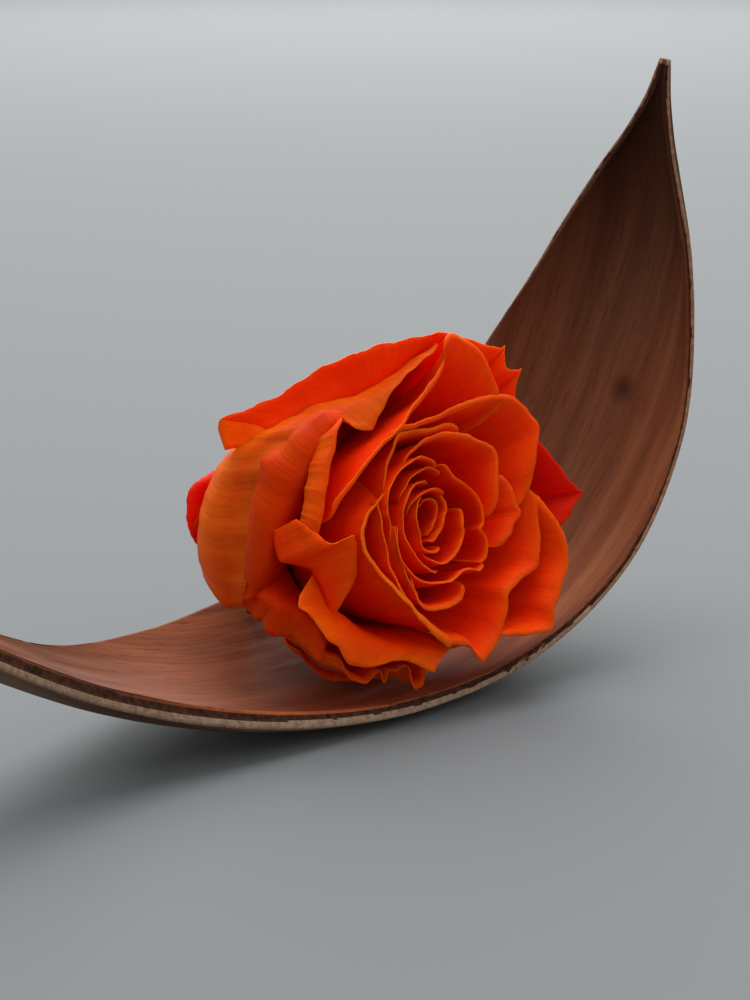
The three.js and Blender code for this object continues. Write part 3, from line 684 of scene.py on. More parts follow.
# Each petal: its layer, its rim as (angle, radius, height), and what differs from its layer.
PETALS = [
    # Bud, from its heart outwards.
    ("bud", [(83, 2.6, 38.5), (74, 3.6, 38.8), (58, 4.5, 39), (41, 4.9, 39), (25, 4.5, 39),
             (3, 3.4, 39), (-29, 2.6, 39), (-63, 2.6, 38.5), (-81, 3, 38)]),
    ("bud", [(42, 6.7, 39), (28, 6.4, 39.5), (14, 5.6, 39.8), (-1, 4.3, 40), (-25, 3.8, 40),
             (-53, 3.4, 39.8), (-79, 4, 39.5), (-92, 3.6, 39)]),
    ("bud", [(76, 4.4, 39.5), (110, 4.1, 40.5), (141, 3.6, 41), (174, 3.3, 41), (208, 3.8, 41),
             (226, 4.9, 41), (241, 5.8, 41), (261, 6, 40.5), (280, 5.9, 40), (302, 5.9, 39)]),
    ("bud", [(161, 4.3, 39), (143, 4.8, 40), (126, 4.8, 40.5), (109, 5, 41), (88, 5.1, 41),
             (68, 5.6, 41), (50, 6.2, 40.7), (33, 6.7, 40)]),
    ("bud", [(60, 7, 39.5), (83, 7.1, 40.5), (100, 7.1, 41), (118, 6.8, 41.3), (137, 6.8, 41.5),
             (155, 7, 41.5), (171, 7.2, 41.5), (186, 7.5, 41.5), (202, 7.6, 41.5),
             (219, 7.9, 41.5), (235, 8.3, 41.3), (250, 8.8, 41), (263, 9.2, 40.5),
             (282, 9.4, 39.5)]),
    ("bud", [(10, 8.4, 39.5), (0, 8.1, 40.5), (-14, 7.8, 41), (-25, 8, 41), (-39, 8, 41),
             (-54, 8.2, 41), (-70, 8.2, 41), (-85, 8.3, 41), (-97, 7.6, 40.5), (-108, 6.7, 40),
             (-116, 5.5, 39)]),
    ("bud", [(146, 6.7, 39.5), (135, 7.6, 40.5), (121, 8.1, 41), (106, 8.6, 41), (91, 9, 41),
             (78, 9.4, 41), (65, 9.5, 40.7), (50, 9.5, 39.5)]),
    ("bud", [(67, 10.5, 40.5), (57, 10.9, 41), (51, 10.4, 41.3), (42, 9.7, 41.5), (28, 10.5, 41.5),
             (16, 11.5, 41.5), (7, 12.1, 41.5), (-2, 12.5, 41.5), (-11, 12.5, 41.5),
             (-18, 11.5, 41.5), (-23, 12.8, 41.5), (-30, 13.8, 41.5), (-37, 14, 41.5),
             (-44, 13.5, 41), (-45, 12.5, 40)]),
    ("bud", [(195, 10.3, 40), (186, 10.2, 41), (175, 10.1, 41.5), (165, 11, 42), (155, 11.4, 42),
             (143, 11.4, 42), (130, 11.3, 42), (116, 11.2, 42), (103, 11.3, 42), (92, 11.2, 42),
             (82, 10.8, 42), (72, 10.3, 41.5), (61, 10, 40.5)]),
    ("bud", [(172, 7.5, 40.5), (188, 8.6, 41), (203, 9.8, 41.3), (215, 10.8, 41.5),
             (225, 11.2, 41.5), (236, 11.5, 41.5), (249, 11.6, 41.5), (264, 11.4, 41.5),
             (279, 11.5, 41.5), (289, 11.4, 41.5), (295, 11.4, 41.5), (304, 12.2, 41.5),
             (309, 13.8, 41.5), (316, 14.2, 41), (319, 13.5, 40)]),
    # Heart.
    ("heart", [(351, 14.7, 40), (357, 15.3, 41), (366, 16.1, 42), (377, 17.7, 42.3),
               (389, 20.2, 42.5), (395, 19.3, 42.5), (402, 18.1, 42.5), (413, 16.8, 42.5),
               (425, 15.7, 42.5), (436, 14.8, 42.3), (446, 13.9, 42), (456, 12.9, 41.5),
               (467, 11.9, 41), (478, 10.6, 40)]),
    ("heart", [(50, 18.2, 41), (56, 18.2, 41.5), (64, 17.6, 42), (72, 16.6, 42), (83, 15.8, 42),
               (95, 15.7, 42), (105, 16.3, 42.3), (110, 15.8, 42.3), (115, 14.8, 42),
               (124, 14.1, 41.8), (133, 13, 41.5), (142, 12.3, 41), (152, 11.7, 40)]),
    ("heart", [(333, 17.9, 39), (339, 18.9, 40), (344, 20.1, 40.5), (349, 20.6, 40.5),
               (353, 22.4, 40.7), (355, 22.8, 40.7), (359, 22, 40.5), (364, 22.2, 40.5),
               (368, 21.9, 40.3), (372, 21.3, 40), (376, 21.2, 39)]),
    ("heart", [(152, 13.3, 41), (159, 12.9, 41.5), (168, 12.2, 41.5), (177, 12.3, 41.5),
               (189, 12.4, 41.5), (199, 12.8, 41.5), (208, 13.7, 41.5), (218, 14.4, 41.5),
               (228, 15.2, 41.5), (237, 15.9, 41), (246, 16.4, 40)]),
    ("heart", [(175, 8.8, 40), (184, 9.6, 41), (195, 9.9, 41), (205, 10.4, 41), (214, 11.1, 41),
               (224, 11.8, 41), (232, 12.6, 41), (239, 13.6, 41), (248, 14.3, 40)]),
    ("heart", [(227, 10.5, 40), (233, 12.3, 41), (239, 14, 41.3), (244, 15.4, 41.5),
               (251, 16.1, 41.5), (260, 15.6, 41.5), (272, 15.2, 41.3), (282, 15.1, 41),
               (288, 14.3, 41), (294, 13, 40)]),
    # Petals that wrap the heart.
    ("wrap", [(-8, 22.5, 39.5), (5, 26, 41), (14, 29, 42), (23, 33, 42), (30, 32.5, 42),
              (38, 30.5, 42), (53, 23.5, 42), (70, 19.2, 42), (90, 17.3, 42), (105, 17.4, 42),
              (125, 17.4, 41)]),
    ("wrap", [(262, 21.5, 40.5), (272, 22.3, 41), (278, 23, 41), (284, 26.8, 41), (295, 25.5, 41),
              (306, 23.2, 41), (314, 21.8, 41), (324, 23.5, 41), (335, 26.8, 41), (346, 27, 41),
              (358, 27, 41), (368, 25.5, 40)]),
    ("wrap", [(130, 11.6, 39.5), (147, 12.7, 40), (159, 14.4, 40.5), (169, 16.1, 41),
              (178, 17.1, 41), (186, 17.7, 41), (197, 17.4, 41), (210, 16.8, 41), (224, 16.7, 41),
              (236, 17, 41), (247, 18.2, 41), (258, 19.9, 41), (267, 21.7, 41), (277, 22.7, 40)],
     # Its rolled lip takes a lighter finish, a painted highlight.
     {"roll": 3, "turn": 110, "finish": "bright"}),
    ("wrap", [(35, 28.4, 41), (40, 29.5, 41.7), (45, 31, 42), (53, 33.6, 42), (59, 34.5, 42),
              (66, 34.1, 42), (69, 31.9, 42), (69, 29.2, 42), (73, 25.4, 42), (80, 22.6, 42),
              (88, 20.2, 42), (99, 18.2, 42), (113, 17.2, 42), (128, 17.5, 41.5), (144, 18.2, 41),
              (155, 19.3, 40.5), (165, 21, 40), (173, 22.8, 39)]),
    # Cups round them.
    ("cup", [(292, 24, 39.5), (301, 27, 41), (307, 29.5, 42), (315, 33.3, 42), (320, 32, 42),
             (328, 32.4, 42), (337, 33, 42), (347, 31, 42), (356, 28.4, 41), (364, 27.8, 39)]),
    ("cup", [(336, 29.5, 34), (345, 32.5, 38), (352, 35.5, 40), (356, 37.8, 40.2),
             (358, 39.7, 40.3), (359.5, 38.3, 40.3), (363, 36.6, 40.3), (370, 34.3, 40.2),
             (378, 33.2, 39.5), (388, 33.4, 38), (398, 33, 35)],
     {"roll": 0.5, "turn": 40, "finish": "shaded"}),
    ("cup", [(14, 33, 33), (25, 34.5, 36), (34, 35.3, 38.6), (36.2, 37.4, 39.3), (37, 38.6, 39.5),
             (38, 37.8, 39.5), (41.5, 36.6, 39.5), (44, 38.2, 39.5), (45, 39.5, 39.5),
             (46, 38.5, 39.5), (51, 37, 39.3), (58, 36, 38.4), (67, 34.6, 36.5), (78, 33, 34)],
     {"roll": 0.5, "turn": 40}),
    ("cup", [(166, 16, 24), (178, 16.5, 26), (190, 16.5, 27), (203, 16.5, 27), (216, 17, 27),
             (228, 17, 26)],
     {"belly": 15}),
    # Outer petals.
    ("outer", [(136, 22, 7), (143, 25.4, 9), (149, 28, 10), (156, 29.4, 10.3), (162, 29.3, 10.3),
               (168, 28.4, 10), (174, 26, 9)],
     {"root": (7, 0.8), "belly": 21, "finish": "shaded"}),
    ("outer", [(148, 22, 10.5), (155, 26.4, 11.8), (161, 28, 11.8), (167, 28.4, 11),
               (172, 27, 10)],
     {"root": (7, 0.8), "belly": 22, "finish": "shaded"}),
    ("outer", [(219, 26.2, 26.5), (224, 27, 28), (228, 26.9, 28.5), (231, 27, 29),
               (235, 28.3, 29.5), (238, 28.9, 30), (241, 28.7, 30), (244, 28.1, 30),
               (247, 26.7, 30), (249, 26.5, 30), (251, 27.8, 30), (252, 28.1, 30), (253, 26.3, 30),
               (257, 25.9, 30), (261, 25.5, 30), (264, 26, 30), (265, 28, 30), (267, 29.3, 30),
               (270, 28.8, 30), (272, 26.9, 30), (275, 25, 30), (280, 24.7, 29), (290, 24.4, 28)],
     {"belly": 26}),
    ("outer", [(236, 22.6, 12), (248, 25.2, 14), (260, 26.4, 15), (272, 26.6, 15), (284, 26, 14.5),
               (296, 24.6, 13), (306, 22.6, 11)],
     {"root": (7, 0.8), "belly": 24}),
    ("outer", [(282, 24.5, 28), (294, 26.5, 31), (306, 29, 33.5), (318, 31, 35), (330, 31.6, 35),
               (342, 31.4, 33.5), (352, 30.4, 31)]),
    ("outer", [(338, 31, 27), (350, 32.6, 30.5), (362, 33.4, 32.5), (376, 33.8, 33.3),
               (390, 34, 33), (403, 33.6, 31.5), (414, 32.6, 29)]),
    ("outer", [(44, 30.6, 22), (56, 31, 25), (68, 30.6, 26.5), (80, 29.6, 26.5), (92, 28.6, 25.5),
               (104, 28, 23), (114, 27.4, 20)],
     {"belly": 27}),
    ("outer", [(168, 22, 10), (180, 24, 14), (195, 24.6, 17.5), (208, 24.9, 22), (225, 24.8, 22.5),
               (240, 24.2, 18.5), (252, 22.6, 13)],
     {"root": (7, 0.8), "belly": 22.5}),
]
print("petals drawn by their rim:", len(PETALS))

# %% Folded petals
# Those at the near side, each by its layer, its lines from the root to the rim, and its look.
# The darker look of two of them is painted shade, where they lie in hollows between petals.
FOLDED = {
    "near_outer_petal": ("outer", [
        [(184, 28.6, 11), (176, 29, 11.5), (160, 29, 13), (140, 28.5, 16), (120, 26, 20),
         (96, 24, 24), (70, 26, 27)],
        [(196, 29.8, 16), (180, 30, 18), (162, 29.7, 20), (150, 29.8, 22), (142, 29.8, 25),
         (137, 29, 27.5), (132, 28, 29.3), (125, 26.7, 31.3), (116, 25.2, 33.3), (107, 24.2, 34.8),
         (97, 24, 35.8), (88, 25.5, 36.8), (79, 28, 37.7), (73, 30.6, 38.3), (69, 32.5, 38.4)],
        [(195, 30.5, 21), (189, 29.7, 23.5), (181, 28.5, 25.5), (173, 27.8, 27), (164, 27.1, 27.5),
         (155, 27.7, 28.5), (147, 28.3, 30), (139, 27, 31.5), (132, 26.1, 33), (123, 25.4, 34.5),
         (117, 23.2, 36), (118, 21.3, 37), (116, 19.8, 37.5), (111, 18.9, 38), (103, 20.2, 38),
         (96, 22.1, 38.5), (89, 24.3, 39), (82, 26.7, 39.5), (73, 29.8, 40), (69, 32.6, 39.5)],
    ]),
    "upper_left_petal": ("outer", [
        [(146, 24, 12), (132, 25, 15), (118, 25, 18), (104, 25, 20), (90, 26, 22), (76, 27, 23),
         (64, 28, 24)],
        [(137.3, 26.8, 20.3), (131.6, 26.3, 22.8), (126, 25.5, 24.6), (118, 24.8, 26.6),
         (108, 24.2, 28.6), (98, 24, 30), (88, 24.5, 31), (79.6, 26.5, 32), (71.6, 29, 33),
         (66.4, 31.8, 33.6)],
        [(140.2, 28.5, 22.6), (134.9, 27.8, 25), (129.6, 26.9, 26.8), (122.2, 25.8, 28.8),
         (112.8, 24.9, 30.8), (103.4, 24.3, 32.3), (93.3, 24.4, 33.3), (84.5, 26, 34.3),
         (75.9, 28.5, 35.3), (70.2, 31.2, 36)],
        [(140, 30, 20.6), (133, 30, 23.6), (126, 29, 25.8), (119, 28.4, 28), (110, 28, 30.4),
         (101, 27.8, 32.4), (92, 28.2, 34.2), (82, 29.6, 36), (74, 31.4, 37.5), (67, 33.4, 38)],
        [(142, 31.5, 19), (138, 36.2, 22), (131, 33.6, 24), (123, 31.6, 26.3), (115, 31.6, 29.5),
         (106, 31.4, 32.5), (97, 31.6, 34.8), (88, 32.2, 36.4), (78, 33.2, 38), (70, 34.2, 39.5),
         (64, 35.8, 39)],
    ], "deep"),
    "near_turned_petal": ("cup", [
        [(198, 24, 14), (180, 24, 16), (160, 23, 18), (140, 22, 20), (118, 21, 22)],
        [(198.5, 26, 21), (192.3, 23.2, 23.5), (181.6, 20.8, 26), (166.6, 20, 29),
         (150.5, 20.9, 32), (137.9, 22.1, 34), (127, 23.2, 35.7), (119.5, 23.2, 36.6)],
        [(194, 30, 23.5), (187, 28.8, 27), (179, 27.4, 29.5), (168, 26.2, 31.7), (159, 25.2, 33.3),
         (148, 24.4, 35), (138, 24.2, 36), (131, 24.6, 36.6), (126, 24.5, 37), (120, 23.6, 37.3)],
        [(194, 30.2, 22.8), (179, 28.9, 28), (168, 28.3, 30.3), (155, 28, 31.8), (146, 27.6, 33),
         (138, 26.6, 34.5), (130, 26, 35.5), (124, 25.4, 36.2), (120, 24.3, 36.9)],
        [(194, 30.2, 21.5), (178, 29.2, 25), (164, 29.2, 27.5), (154, 29.4, 28.7),
         (146, 29.6, 29.7), (140, 28.2, 31.2), (132, 27.4, 33), (123, 26.8, 35), (120, 25.2, 36),
         (118, 24, 36.9)],
    ], "deep"),
    "near_strip_petal": ("cup", [
        [(182, 17, 20), (165, 17, 22), (145, 17, 22), (124, 17, 20)],
        [(178, 22, 32), (165, 21, 34), (146, 20.5, 34), (124, 21, 31)],
        [(176, 23.8, 38), (171, 23.8, 39), (162, 23.1, 39.3), (148, 22.9, 39.5), (139, 23.4, 39.5),
         (127, 24.4, 39), (121, 23.9, 37.5)],
        [(171, 24.9, 35.5), (165, 25, 36), (159, 24.6, 36.2), (150, 24.3, 36.3), (142, 24.4, 36.3),
         (133, 24.5, 36.3), (125, 23.6, 35)],
    ]),
    "near_notched_petal": ("cup", [
        [(166, 17, 20), (182, 16, 20), (198, 16, 20), (214, 17, 20)],
        [(168, 22, 28), (182, 20, 28), (197, 19, 29), (213, 20, 28)],
        [(172, 27, 31), (178, 27.3, 31), (183, 27.2, 31.5), (185, 26, 32.5), (187, 24.2, 33.5),
         (190, 22.7, 35), (195, 22.6, 35), (201, 22.7, 34.5), (206, 23.1, 34), (212, 23.6, 32)],
        [(169, 26.1, 36), (171, 25.5, 37), (174, 24.7, 38), (176, 24.1, 39), (179, 23.7, 40),
         (181, 22.2, 40.5), (180, 20.5, 41), (179, 19.1, 42), (183, 18.1, 41.5), (191, 17.8, 40.5),
         (199, 18.2, 39), (204, 19.6, 38), (208, 21.4, 36.5), (211, 22.9, 35), (212, 24.1, 34)],
    ]),
    "low_drooping_petal": ("cup", [
        [(186, 14, 12), (200, 15, 13), (215, 16, 14), (230, 16, 15)],
        [(186, 18, 20), (200, 18, 21), (212, 19, 23), (226, 20, 24)],
        [(189, 28.6, 22), (192, 28.6, 23.5), (195, 28.2, 24.5), (198, 27.4, 25.5), (202, 26.7, 27),
         (208, 25.5, 28), (213, 25.1, 28.5), (218, 25.2, 29), (223, 26.1, 29)],
        [(192, 25.9, 14), (197, 26.8, 16), (201, 27, 17.5), (204, 27.3, 18.5), (205, 26.7, 19.5),
         (208, 28, 20.5), (211, 28.1, 21.5), (213, 27.3, 23), (215, 26.7, 24), (218, 27.3, 25),
         (223, 27.9, 26), (226, 28.5, 27), (227.5, 27.9, 27.3), (226, 26.6, 27.6)],
    ]),
    "low_lip_petal": ("cup", [
        [(196, 13, 18), (215, 14, 18), (235, 15, 18), (255, 15, 18), (280, 15, 18)],
        [(196, 16, 26), (208, 19, 28), (225, 20, 30), (245, 20, 31), (262, 19, 31), (282, 18, 30)],
        [(197, 18, 31), (203, 20.9, 32), (208, 22.6, 33), (213, 23.8, 34), (218, 23.5, 35),
         (225, 23.7, 36), (235, 23.6, 37), (245, 23.1, 37.5), (256, 22.5, 38), (269, 22, 37.5),
         (280, 21.6, 36.5)],
        [(193, 22.8, 33), (195, 26.3, 34), (197, 28.9, 35), (199, 29.8, 35.3), (201, 29.4, 36),
         (206, 29.2, 36.3), (210, 29.4, 36.5), (214, 29.6, 37), (218, 28.8, 37), (221, 29.4, 37),
         (224, 30, 37), (230, 29, 37), (235, 27.8, 37.5), (240, 26.3, 38), (247, 25.2, 38.5),
         (253, 25.5, 39), (257, 26.3, 39.3), (260, 26.8, 39.5), (261, 26, 39.5), (266, 24.2, 39),
         (272, 23, 38)],
    ]),
}
print("petals drawn by lines:", len(FOLDED))

# %% [markdown]
# ## A petal as a curved sheet
#
# Each petal is one grid whose points are laid by a function of their place on it. Most petals go
# from a narrow root out to a belly and up to the rim, on a Bezier curve, and end in a rolled lip
# that is an arc of a circle. The folded ones pass through several drawn lines instead. Sculpting
# them by hand would look as good from one side, but it couldn't follow so many measured rims.

# %% Numbers of a petal's shape
PETAL_COLUMNS, PETAL_ROWS = 64, 36
FLARE_START = 0.86
# How far the rim rolls back, in millimetres, and through how many degrees.
ROLLS = {"bud": (0.7, 85), "heart": (1.1, 90), "wrap": (1.7, 90), "cup": (1.7, 75),
         "outer": (1.6, 55)}
ROLL_REACH, ROLL_RISE = 0.5, 0.35
CORNER_START, CORNER_CUT = 0.84, 0.4
BELLY_LOW, BELLY_HIGH, BELLY_LEAN = 0.15, 0.86, 0.3
# How far each layer's surface waves in and out, in millimetres, and how often per centimetre.
WAVES = {"bud": 0.25, "heart": 0.3, "wrap": 0.4, "cup": 0.4, "outer": 0.45}
BROAD_WAVES, CREASES, NICKS = [0.5, 1.1, 1.9], [3, 5], [4, 7, 11]
CREASE_SHARE, NICK_SHARE = 0.1, 0.3

# %% Ruffles
def ruffled(u, v, length, seed, wave):
    """How far a petal waves in and out: broadly near the rim, with fine creases and nicks."""
    broad = wave * v**2 * ripple(u * length, seed, BROAD_WAVES)
    creases = CREASE_SHARE * wave * ripple(u * length, seed + 1, CREASES) * np.sin(math.pi * v)
    return broad + creases + NICK_SHARE * wave * v**12 * ripple(u * length, seed + 2, NICKS)


# %% One petal from its rim
def rim_petal(rim, root, belly, roll, turn, seed, wave):
    """Returns place(u, v) for a petal: u runs along its rim, v from the root to the rim."""
    count = np.arange(len(rim))
    angles, radii, heights = (list(zip(count, column)) for column in zip(*rim))
    middle = (rim[0][0] + rim[-1][0]) / 2

    def place(u, v):
        along = u * (len(rim) - 1)
        angle, radius, height = (value_at(line, along) for line in (angles, radii, heights))
        side = 2 * u - 1
        # The corners of a petal are rounded, so the columns there stop short of the rim.
        corner = np.clip((np.abs(side) - CORNER_START) / (1 - CORNER_START), 0, 1)
        v = v * (1 - CORNER_CUT * corner**2)
        swell = np.where(belly > 0, belly, radius * BUD_SWELL) * (1 - SIDE_TUCK * side**2)
        # The rolled rim reaches a little past the place where the blade ends.
        radius, height = radius - ROLL_REACH * roll, height - ROLL_RISE * roll
        rise = height - root[1]
        t = np.minimum(v / FLARE_START, 1)
        r1, h1 = swell, root[1] + BELLY_LOW * rise
        r2, h2 = swell + BELLY_LEAN * (radius - swell), root[1] + BELLY_HIGH * rise
        weights = (1 - t) ** 3, 3 * (1 - t) ** 2 * t, 3 * (1 - t) * t**2, t**3
        r = sum(w * x for w, x in zip(weights, (root[0], r1, r2, radius)))
        h = sum(w * x for w, x in zip(weights, (root[1], h1, h2, height)))
        over = np.clip((v - FLARE_START) / (1 - FLARE_START), 0, 1)
        start = np.arctan2(height - h2, radius - r2)
        bend = math.radians(turn)
        r = r + roll / bend * (np.sin(start) - np.sin(start - bend * over))
        h = h + roll / bend * (np.cos(start - bend * over) - np.cos(start))
        spread = ROOT_SHARE + (1 - ROOT_SHARE) * np.sin(t * math.pi / 2)
        length = abs(math.radians(rim[-1][0] - rim[0][0])) * np.mean([r for _, r, _ in rim]) / 10
        r = r + ruffled(u, v, length, seed, wave)
        return from_bloom(middle + (angle - middle) * spread, r, h) * MM

    return place


# %% One petal from several lines
def line_point(line, u):
    """A point a share u of the way along a smooth line of (angle, radius, height)."""
    angle, radius, height = np.array(line, float).T
    turn = np.radians(angle)
    flat = np.stack([radius * np.cos(turn), radius * np.sin(turn), height])
    travelled = np.concatenate([[0], np.cumsum(np.linalg.norm(np.diff(flat), axis=0))])
    return np.stack([value_at(list(zip(travelled / travelled[-1], row)), u) for row in flat], -1)


def lined_petal(lines, root, seed, wave):
    """Returns place(u, v) for a petal that passes through several lines from root to rim."""
    first = lines[0]
    middle = (first[0][0] + first[-1][0]) / 2
    foot = [(middle + (angle - middle) * ROOT_SHARE, root[0], root[1]) for angle, _, _ in first]
    lines = [foot, *lines]

    def place(u, v):
        knots = np.stack([line_point(line, u) for line in lines])
        gaps = np.linalg.norm(np.diff(knots, axis=0), axis=-1).mean(axis=1)
        stations = np.concatenate([[0], np.cumsum(gaps)]) / gaps.sum()
        slopes = np.gradient(knots, stations, axis=0)
        i = np.clip(np.searchsorted(stations, v, side="right") - 1, 0, len(lines) - 2)
        n = np.arange(len(u))
        step = (stations[i + 1] - stations[i])[:, None]
        t = (v - stations[i])[:, None] / step
        point = (
            (2 * t**3 - 3 * t**2 + 1) * knots[i, n] + (t**3 - 2 * t**2 + t) * step * slopes[i, n]
            + (3 * t**2 - 2 * t**3) * knots[i + 1, n] + (t**3 - t**2) * step * slopes[i + 1, n]
        )
        radius = np.hypot(point[:, 0], point[:, 1])
        angle = np.degrees(np.arctan2(point[:, 1], point[:, 0]))
        length = np.linalg.norm(knots[-1, 0] - knots[-1, -1]) / 10
        return from_bloom(angle, radius + ruffled(u, v, length, seed, wave), point[:, 2]) * MM

    return place


# %% [markdown]
# ## Thickness and finish of a petal
#
# A preserved petal is soft and thin, and thinnest at its rim. A Solidify modifier gives the sheet
# its wall, a vertex group thins it, and material offsets give its back and its cut edge finishes
# of their own. The colour follows the petal's own map from the root to the rim. It is darkest at
# the root, which is painted shade down between the petals, and palest at the rim, partly the
# petal's own paler edge and partly a painted highlight. Red light goes into a petal and comes out
# beside it, so the finish has subsurface scattering with a long reach for red.

# %% Thickness of a petal
PETAL_THICKNESS = {"bud": 0.36, "heart": 0.38, "wrap": 0.4, "cup": 0.42, "outer": 0.45}
# Thickness at the rim, as a share, and the share of the blade's height over which it thins.
RIM_THINNING, THIN_FROM_RIM = 0.35, 0.25


def make_petal(name, layer, place, look=None):
    """Lays a petal and gives it its thickness, with one finish inside, outside and on the rim."""
    petal = lay_grid(name, PETAL_COLUMNS, PETAL_ROWS, place)
    for finish in PETAL_LOOKS[look or layer]:
        petal.data.materials.append(finish_of[finish])
    uv = petal.data.uv_layers.active
    uv.name = "petal"
    # The blade thins towards its rim.
    body = petal.vertex_groups.new(name="body")
    rows = {}
    for loop, place_on in zip(petal.data.loops, uv.data):
        rows[loop.vertex_index] = place_on.uv.y
    for vertex, height in rows.items():
        body.add([vertex], min(1, (1 - height) / THIN_FROM_RIM), "REPLACE")
    wall = petal.modifiers.new("thickness", "SOLIDIFY")
    wall.thickness = PETAL_THICKNESS[layer] * MM
    wall.offset = 0
    wall.vertex_group = body.name
    wall.thickness_vertex_group = RIM_THINNING
    wall.material_offset = 1
    wall.material_offset_rim = 2
    bpy.ops.object.modifier_apply(modifier=wall.name)
    petal.vertex_groups.clear()
    bpy.ops.object.shade_smooth()
    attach(petal, "root")
    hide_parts("rose_petals")
    return petal


# %% Numbers of the petal finish
# Where the root, the blade, the rim and the last bit before the cut edge have their colours.
# The darker root is painted shade, down between the petals.
PETAL_STOPS = 0.35, 0.75, 0.9, 0.985
# That last bit is lighter than the rim by this much in red, green and blue: partly the
# petal's own paler edge, partly a painted highlight on its curled lip.
EDGE_PALENESS_AND_HIGHLIGHT = 1, 1.4, 2
# How often each pattern repeats: over the petal's map, and the last one per metre.
VEINS, BLOTCHES, CRINKLE, MOTTLE = (55, 2.5, 1), (6, 4, 1), (38, 14, 1), (420, 420, 420)
VEIN_STOPS = [(0.35, (0.9, 0.75, 0.6)), (0.6, (1.02, 1.05, 1.1))]
BLOTCH_STOPS = [(0.35, (0.9, 0.78, 0.7)), (0.65, (1.05, 1.18, 1.3))]
MOTTLE_STOPS = [(0.35, (0.94, 0.84, 0.8)), (0.65, (1.03, 1.1, 1.2))]
PETAL_SHADER = {
    "Subsurface Weight": 0.45,
    "Subsurface Radius": (1, 0.08, 0.01),
    "Subsurface Scale": 2 * MM,
    "Specular IOR Level": 0.1,
    "Specular Tint": (1, 0.45, 0.2, 1),
}

# %% The petal finish
def petal_finish(name, root_colour, blade_colour, rim_colour, veining=0.6):
    """Colour from painted shade at the root to the rim, paler at its edge and partly a painted
    highlight there, with faint veins along the petal and soft mottling.
    """
    material, tree, shader = new_finish(name, 0.5)
    place = add_node(tree, "ShaderNodeUVMap", uv_map="petal").outputs["UV"]
    height = add_node(tree, "ShaderNodeSeparateXYZ", [("Vector", place)]).outputs["Y"]
    veins = stretched_noise(tree, place, VEINS, 4, 0.6)
    blotches = stretched_noise(tree, place, BLOTCHES, 4)
    body = add_node(tree, "ShaderNodeTexCoord").outputs["Object"]
    mottle = stretched_noise(tree, body, MOTTLE, 5, 0.65)
    edge_colour = tuple(np.multiply(rim_colour, EDGE_PALENESS_AND_HIGHLIGHT))
    colours = root_colour, blade_colour, rim_colour, edge_colour
    colour = ramp(tree, height, list(zip(PETAL_STOPS, colours)))
    colour = tint(tree, colour, veins, VEIN_STOPS, veining)
    colour = tint(tree, colour, blotches, BLOTCH_STOPS, 0.7)
    colour = tint(tree, colour, mottle, MOTTLE_STOPS, 0.6)
    tree.links.new(colour, shader.inputs["Base Color"])
    for socket, value in PETAL_SHADER.items():
        shader.inputs[socket].default_value = value
    # Veins, a fine papery crinkle and the mottling stand out a little.
    relief = veins
    for pattern in (stretched_noise(tree, place, CRINKLE, 5, 0.7), mottle):
        both = add_node(tree, "ShaderNodeMath", [(0, relief), (1, pattern)], operation="ADD")
        relief = both.outputs["Value"]
    add_bump(tree, shader, relief, 0.5, 0.22 * MM)
    return material


# %% Finishes of the petals
# Each one: its colours at the root, on the blade and at the rim, and how much its veins show.
PETAL_COLOURS = {
    "inside": [(0.8, 0.008, 0.0001), (0.98, 0.03, 0.0002), (1, 0.065, 0.0005)],
    "back": [(0.72, 0.007, 0.0001), (0.92, 0.025, 0.0002), (1, 0.055, 0.0006)],
    "ochre_back": [(1, 0.07, 0.001), (0.98, 0.14, 0.003), (0.76, 0.07, 0.0015), 1.0],
    "heart": [(0.7, 0.005, 0.0001), (0.95, 0.022, 0.0002), (1, 0.07, 0.0008)],
    # A lit copy of the inside finish with a lighter rim: a painted highlight on a rolled lip.
    "bright": [(0.75, 0.008, 0.0001), (0.96, 0.03, 0.0002), (1, 0.09, 0.001)],
    # This one and the next are darker copies of the petal finish: painted shade, for petals in the
    # hollows under others and for the low lobes.
    "deep": [(0.45, 0.003, 0.0001), (0.55, 0.006, 0.0002), (0.74, 0.035, 0.0004)],
    "shaded": [(0.55, 0.005, 0.0001), (0.62, 0.005, 0.0003), (0.66, 0.009, 0.0005)],
    "tip": [(0.9, 0.15, 0.003), (0.9, 0.15, 0.003), (0.9, 0.15, 0.003)],
    # The cut edge is paler orange: partly the petal's own paler edge, partly a painted highlight.
    "rim": [(1, 0.1, 0.002), (1, 0.1, 0.002), (1, 0.12, 0.003)],
}
finish_of = {name: petal_finish(f"petal_{name}", *look) for name, look in PETAL_COLOURS.items()}
# Each look: the side away from the bloom's axis, the side towards it, and the cut edge.
PETAL_LOOKS = {
    "bud": ("heart", "heart", "rim"),
    "heart": ("heart", "heart", "rim"),
    # This look carries a painted highlight on its inside.
    "bright": ("back", "bright", "rim"),
    "wrap": ("back", "inside", "rim"),
    "cup": ("back", "inside", "rim"),
    "outer": ("ochre_back", "inside", "rim"),
    # These two looks are painted shade on both sides.
    "deep": ("deep", "deep", "rim"),
    "shaded": ("shaded", "shaded", "rim"),
}
print("petal finishes:", list(finish_of))

# %% [markdown]
# ## Laying all the petals
#
# The petals are laid from the heart outwards, each with a seed of its own for its ruffles, so no
# two are alike and every run gives the same ones.

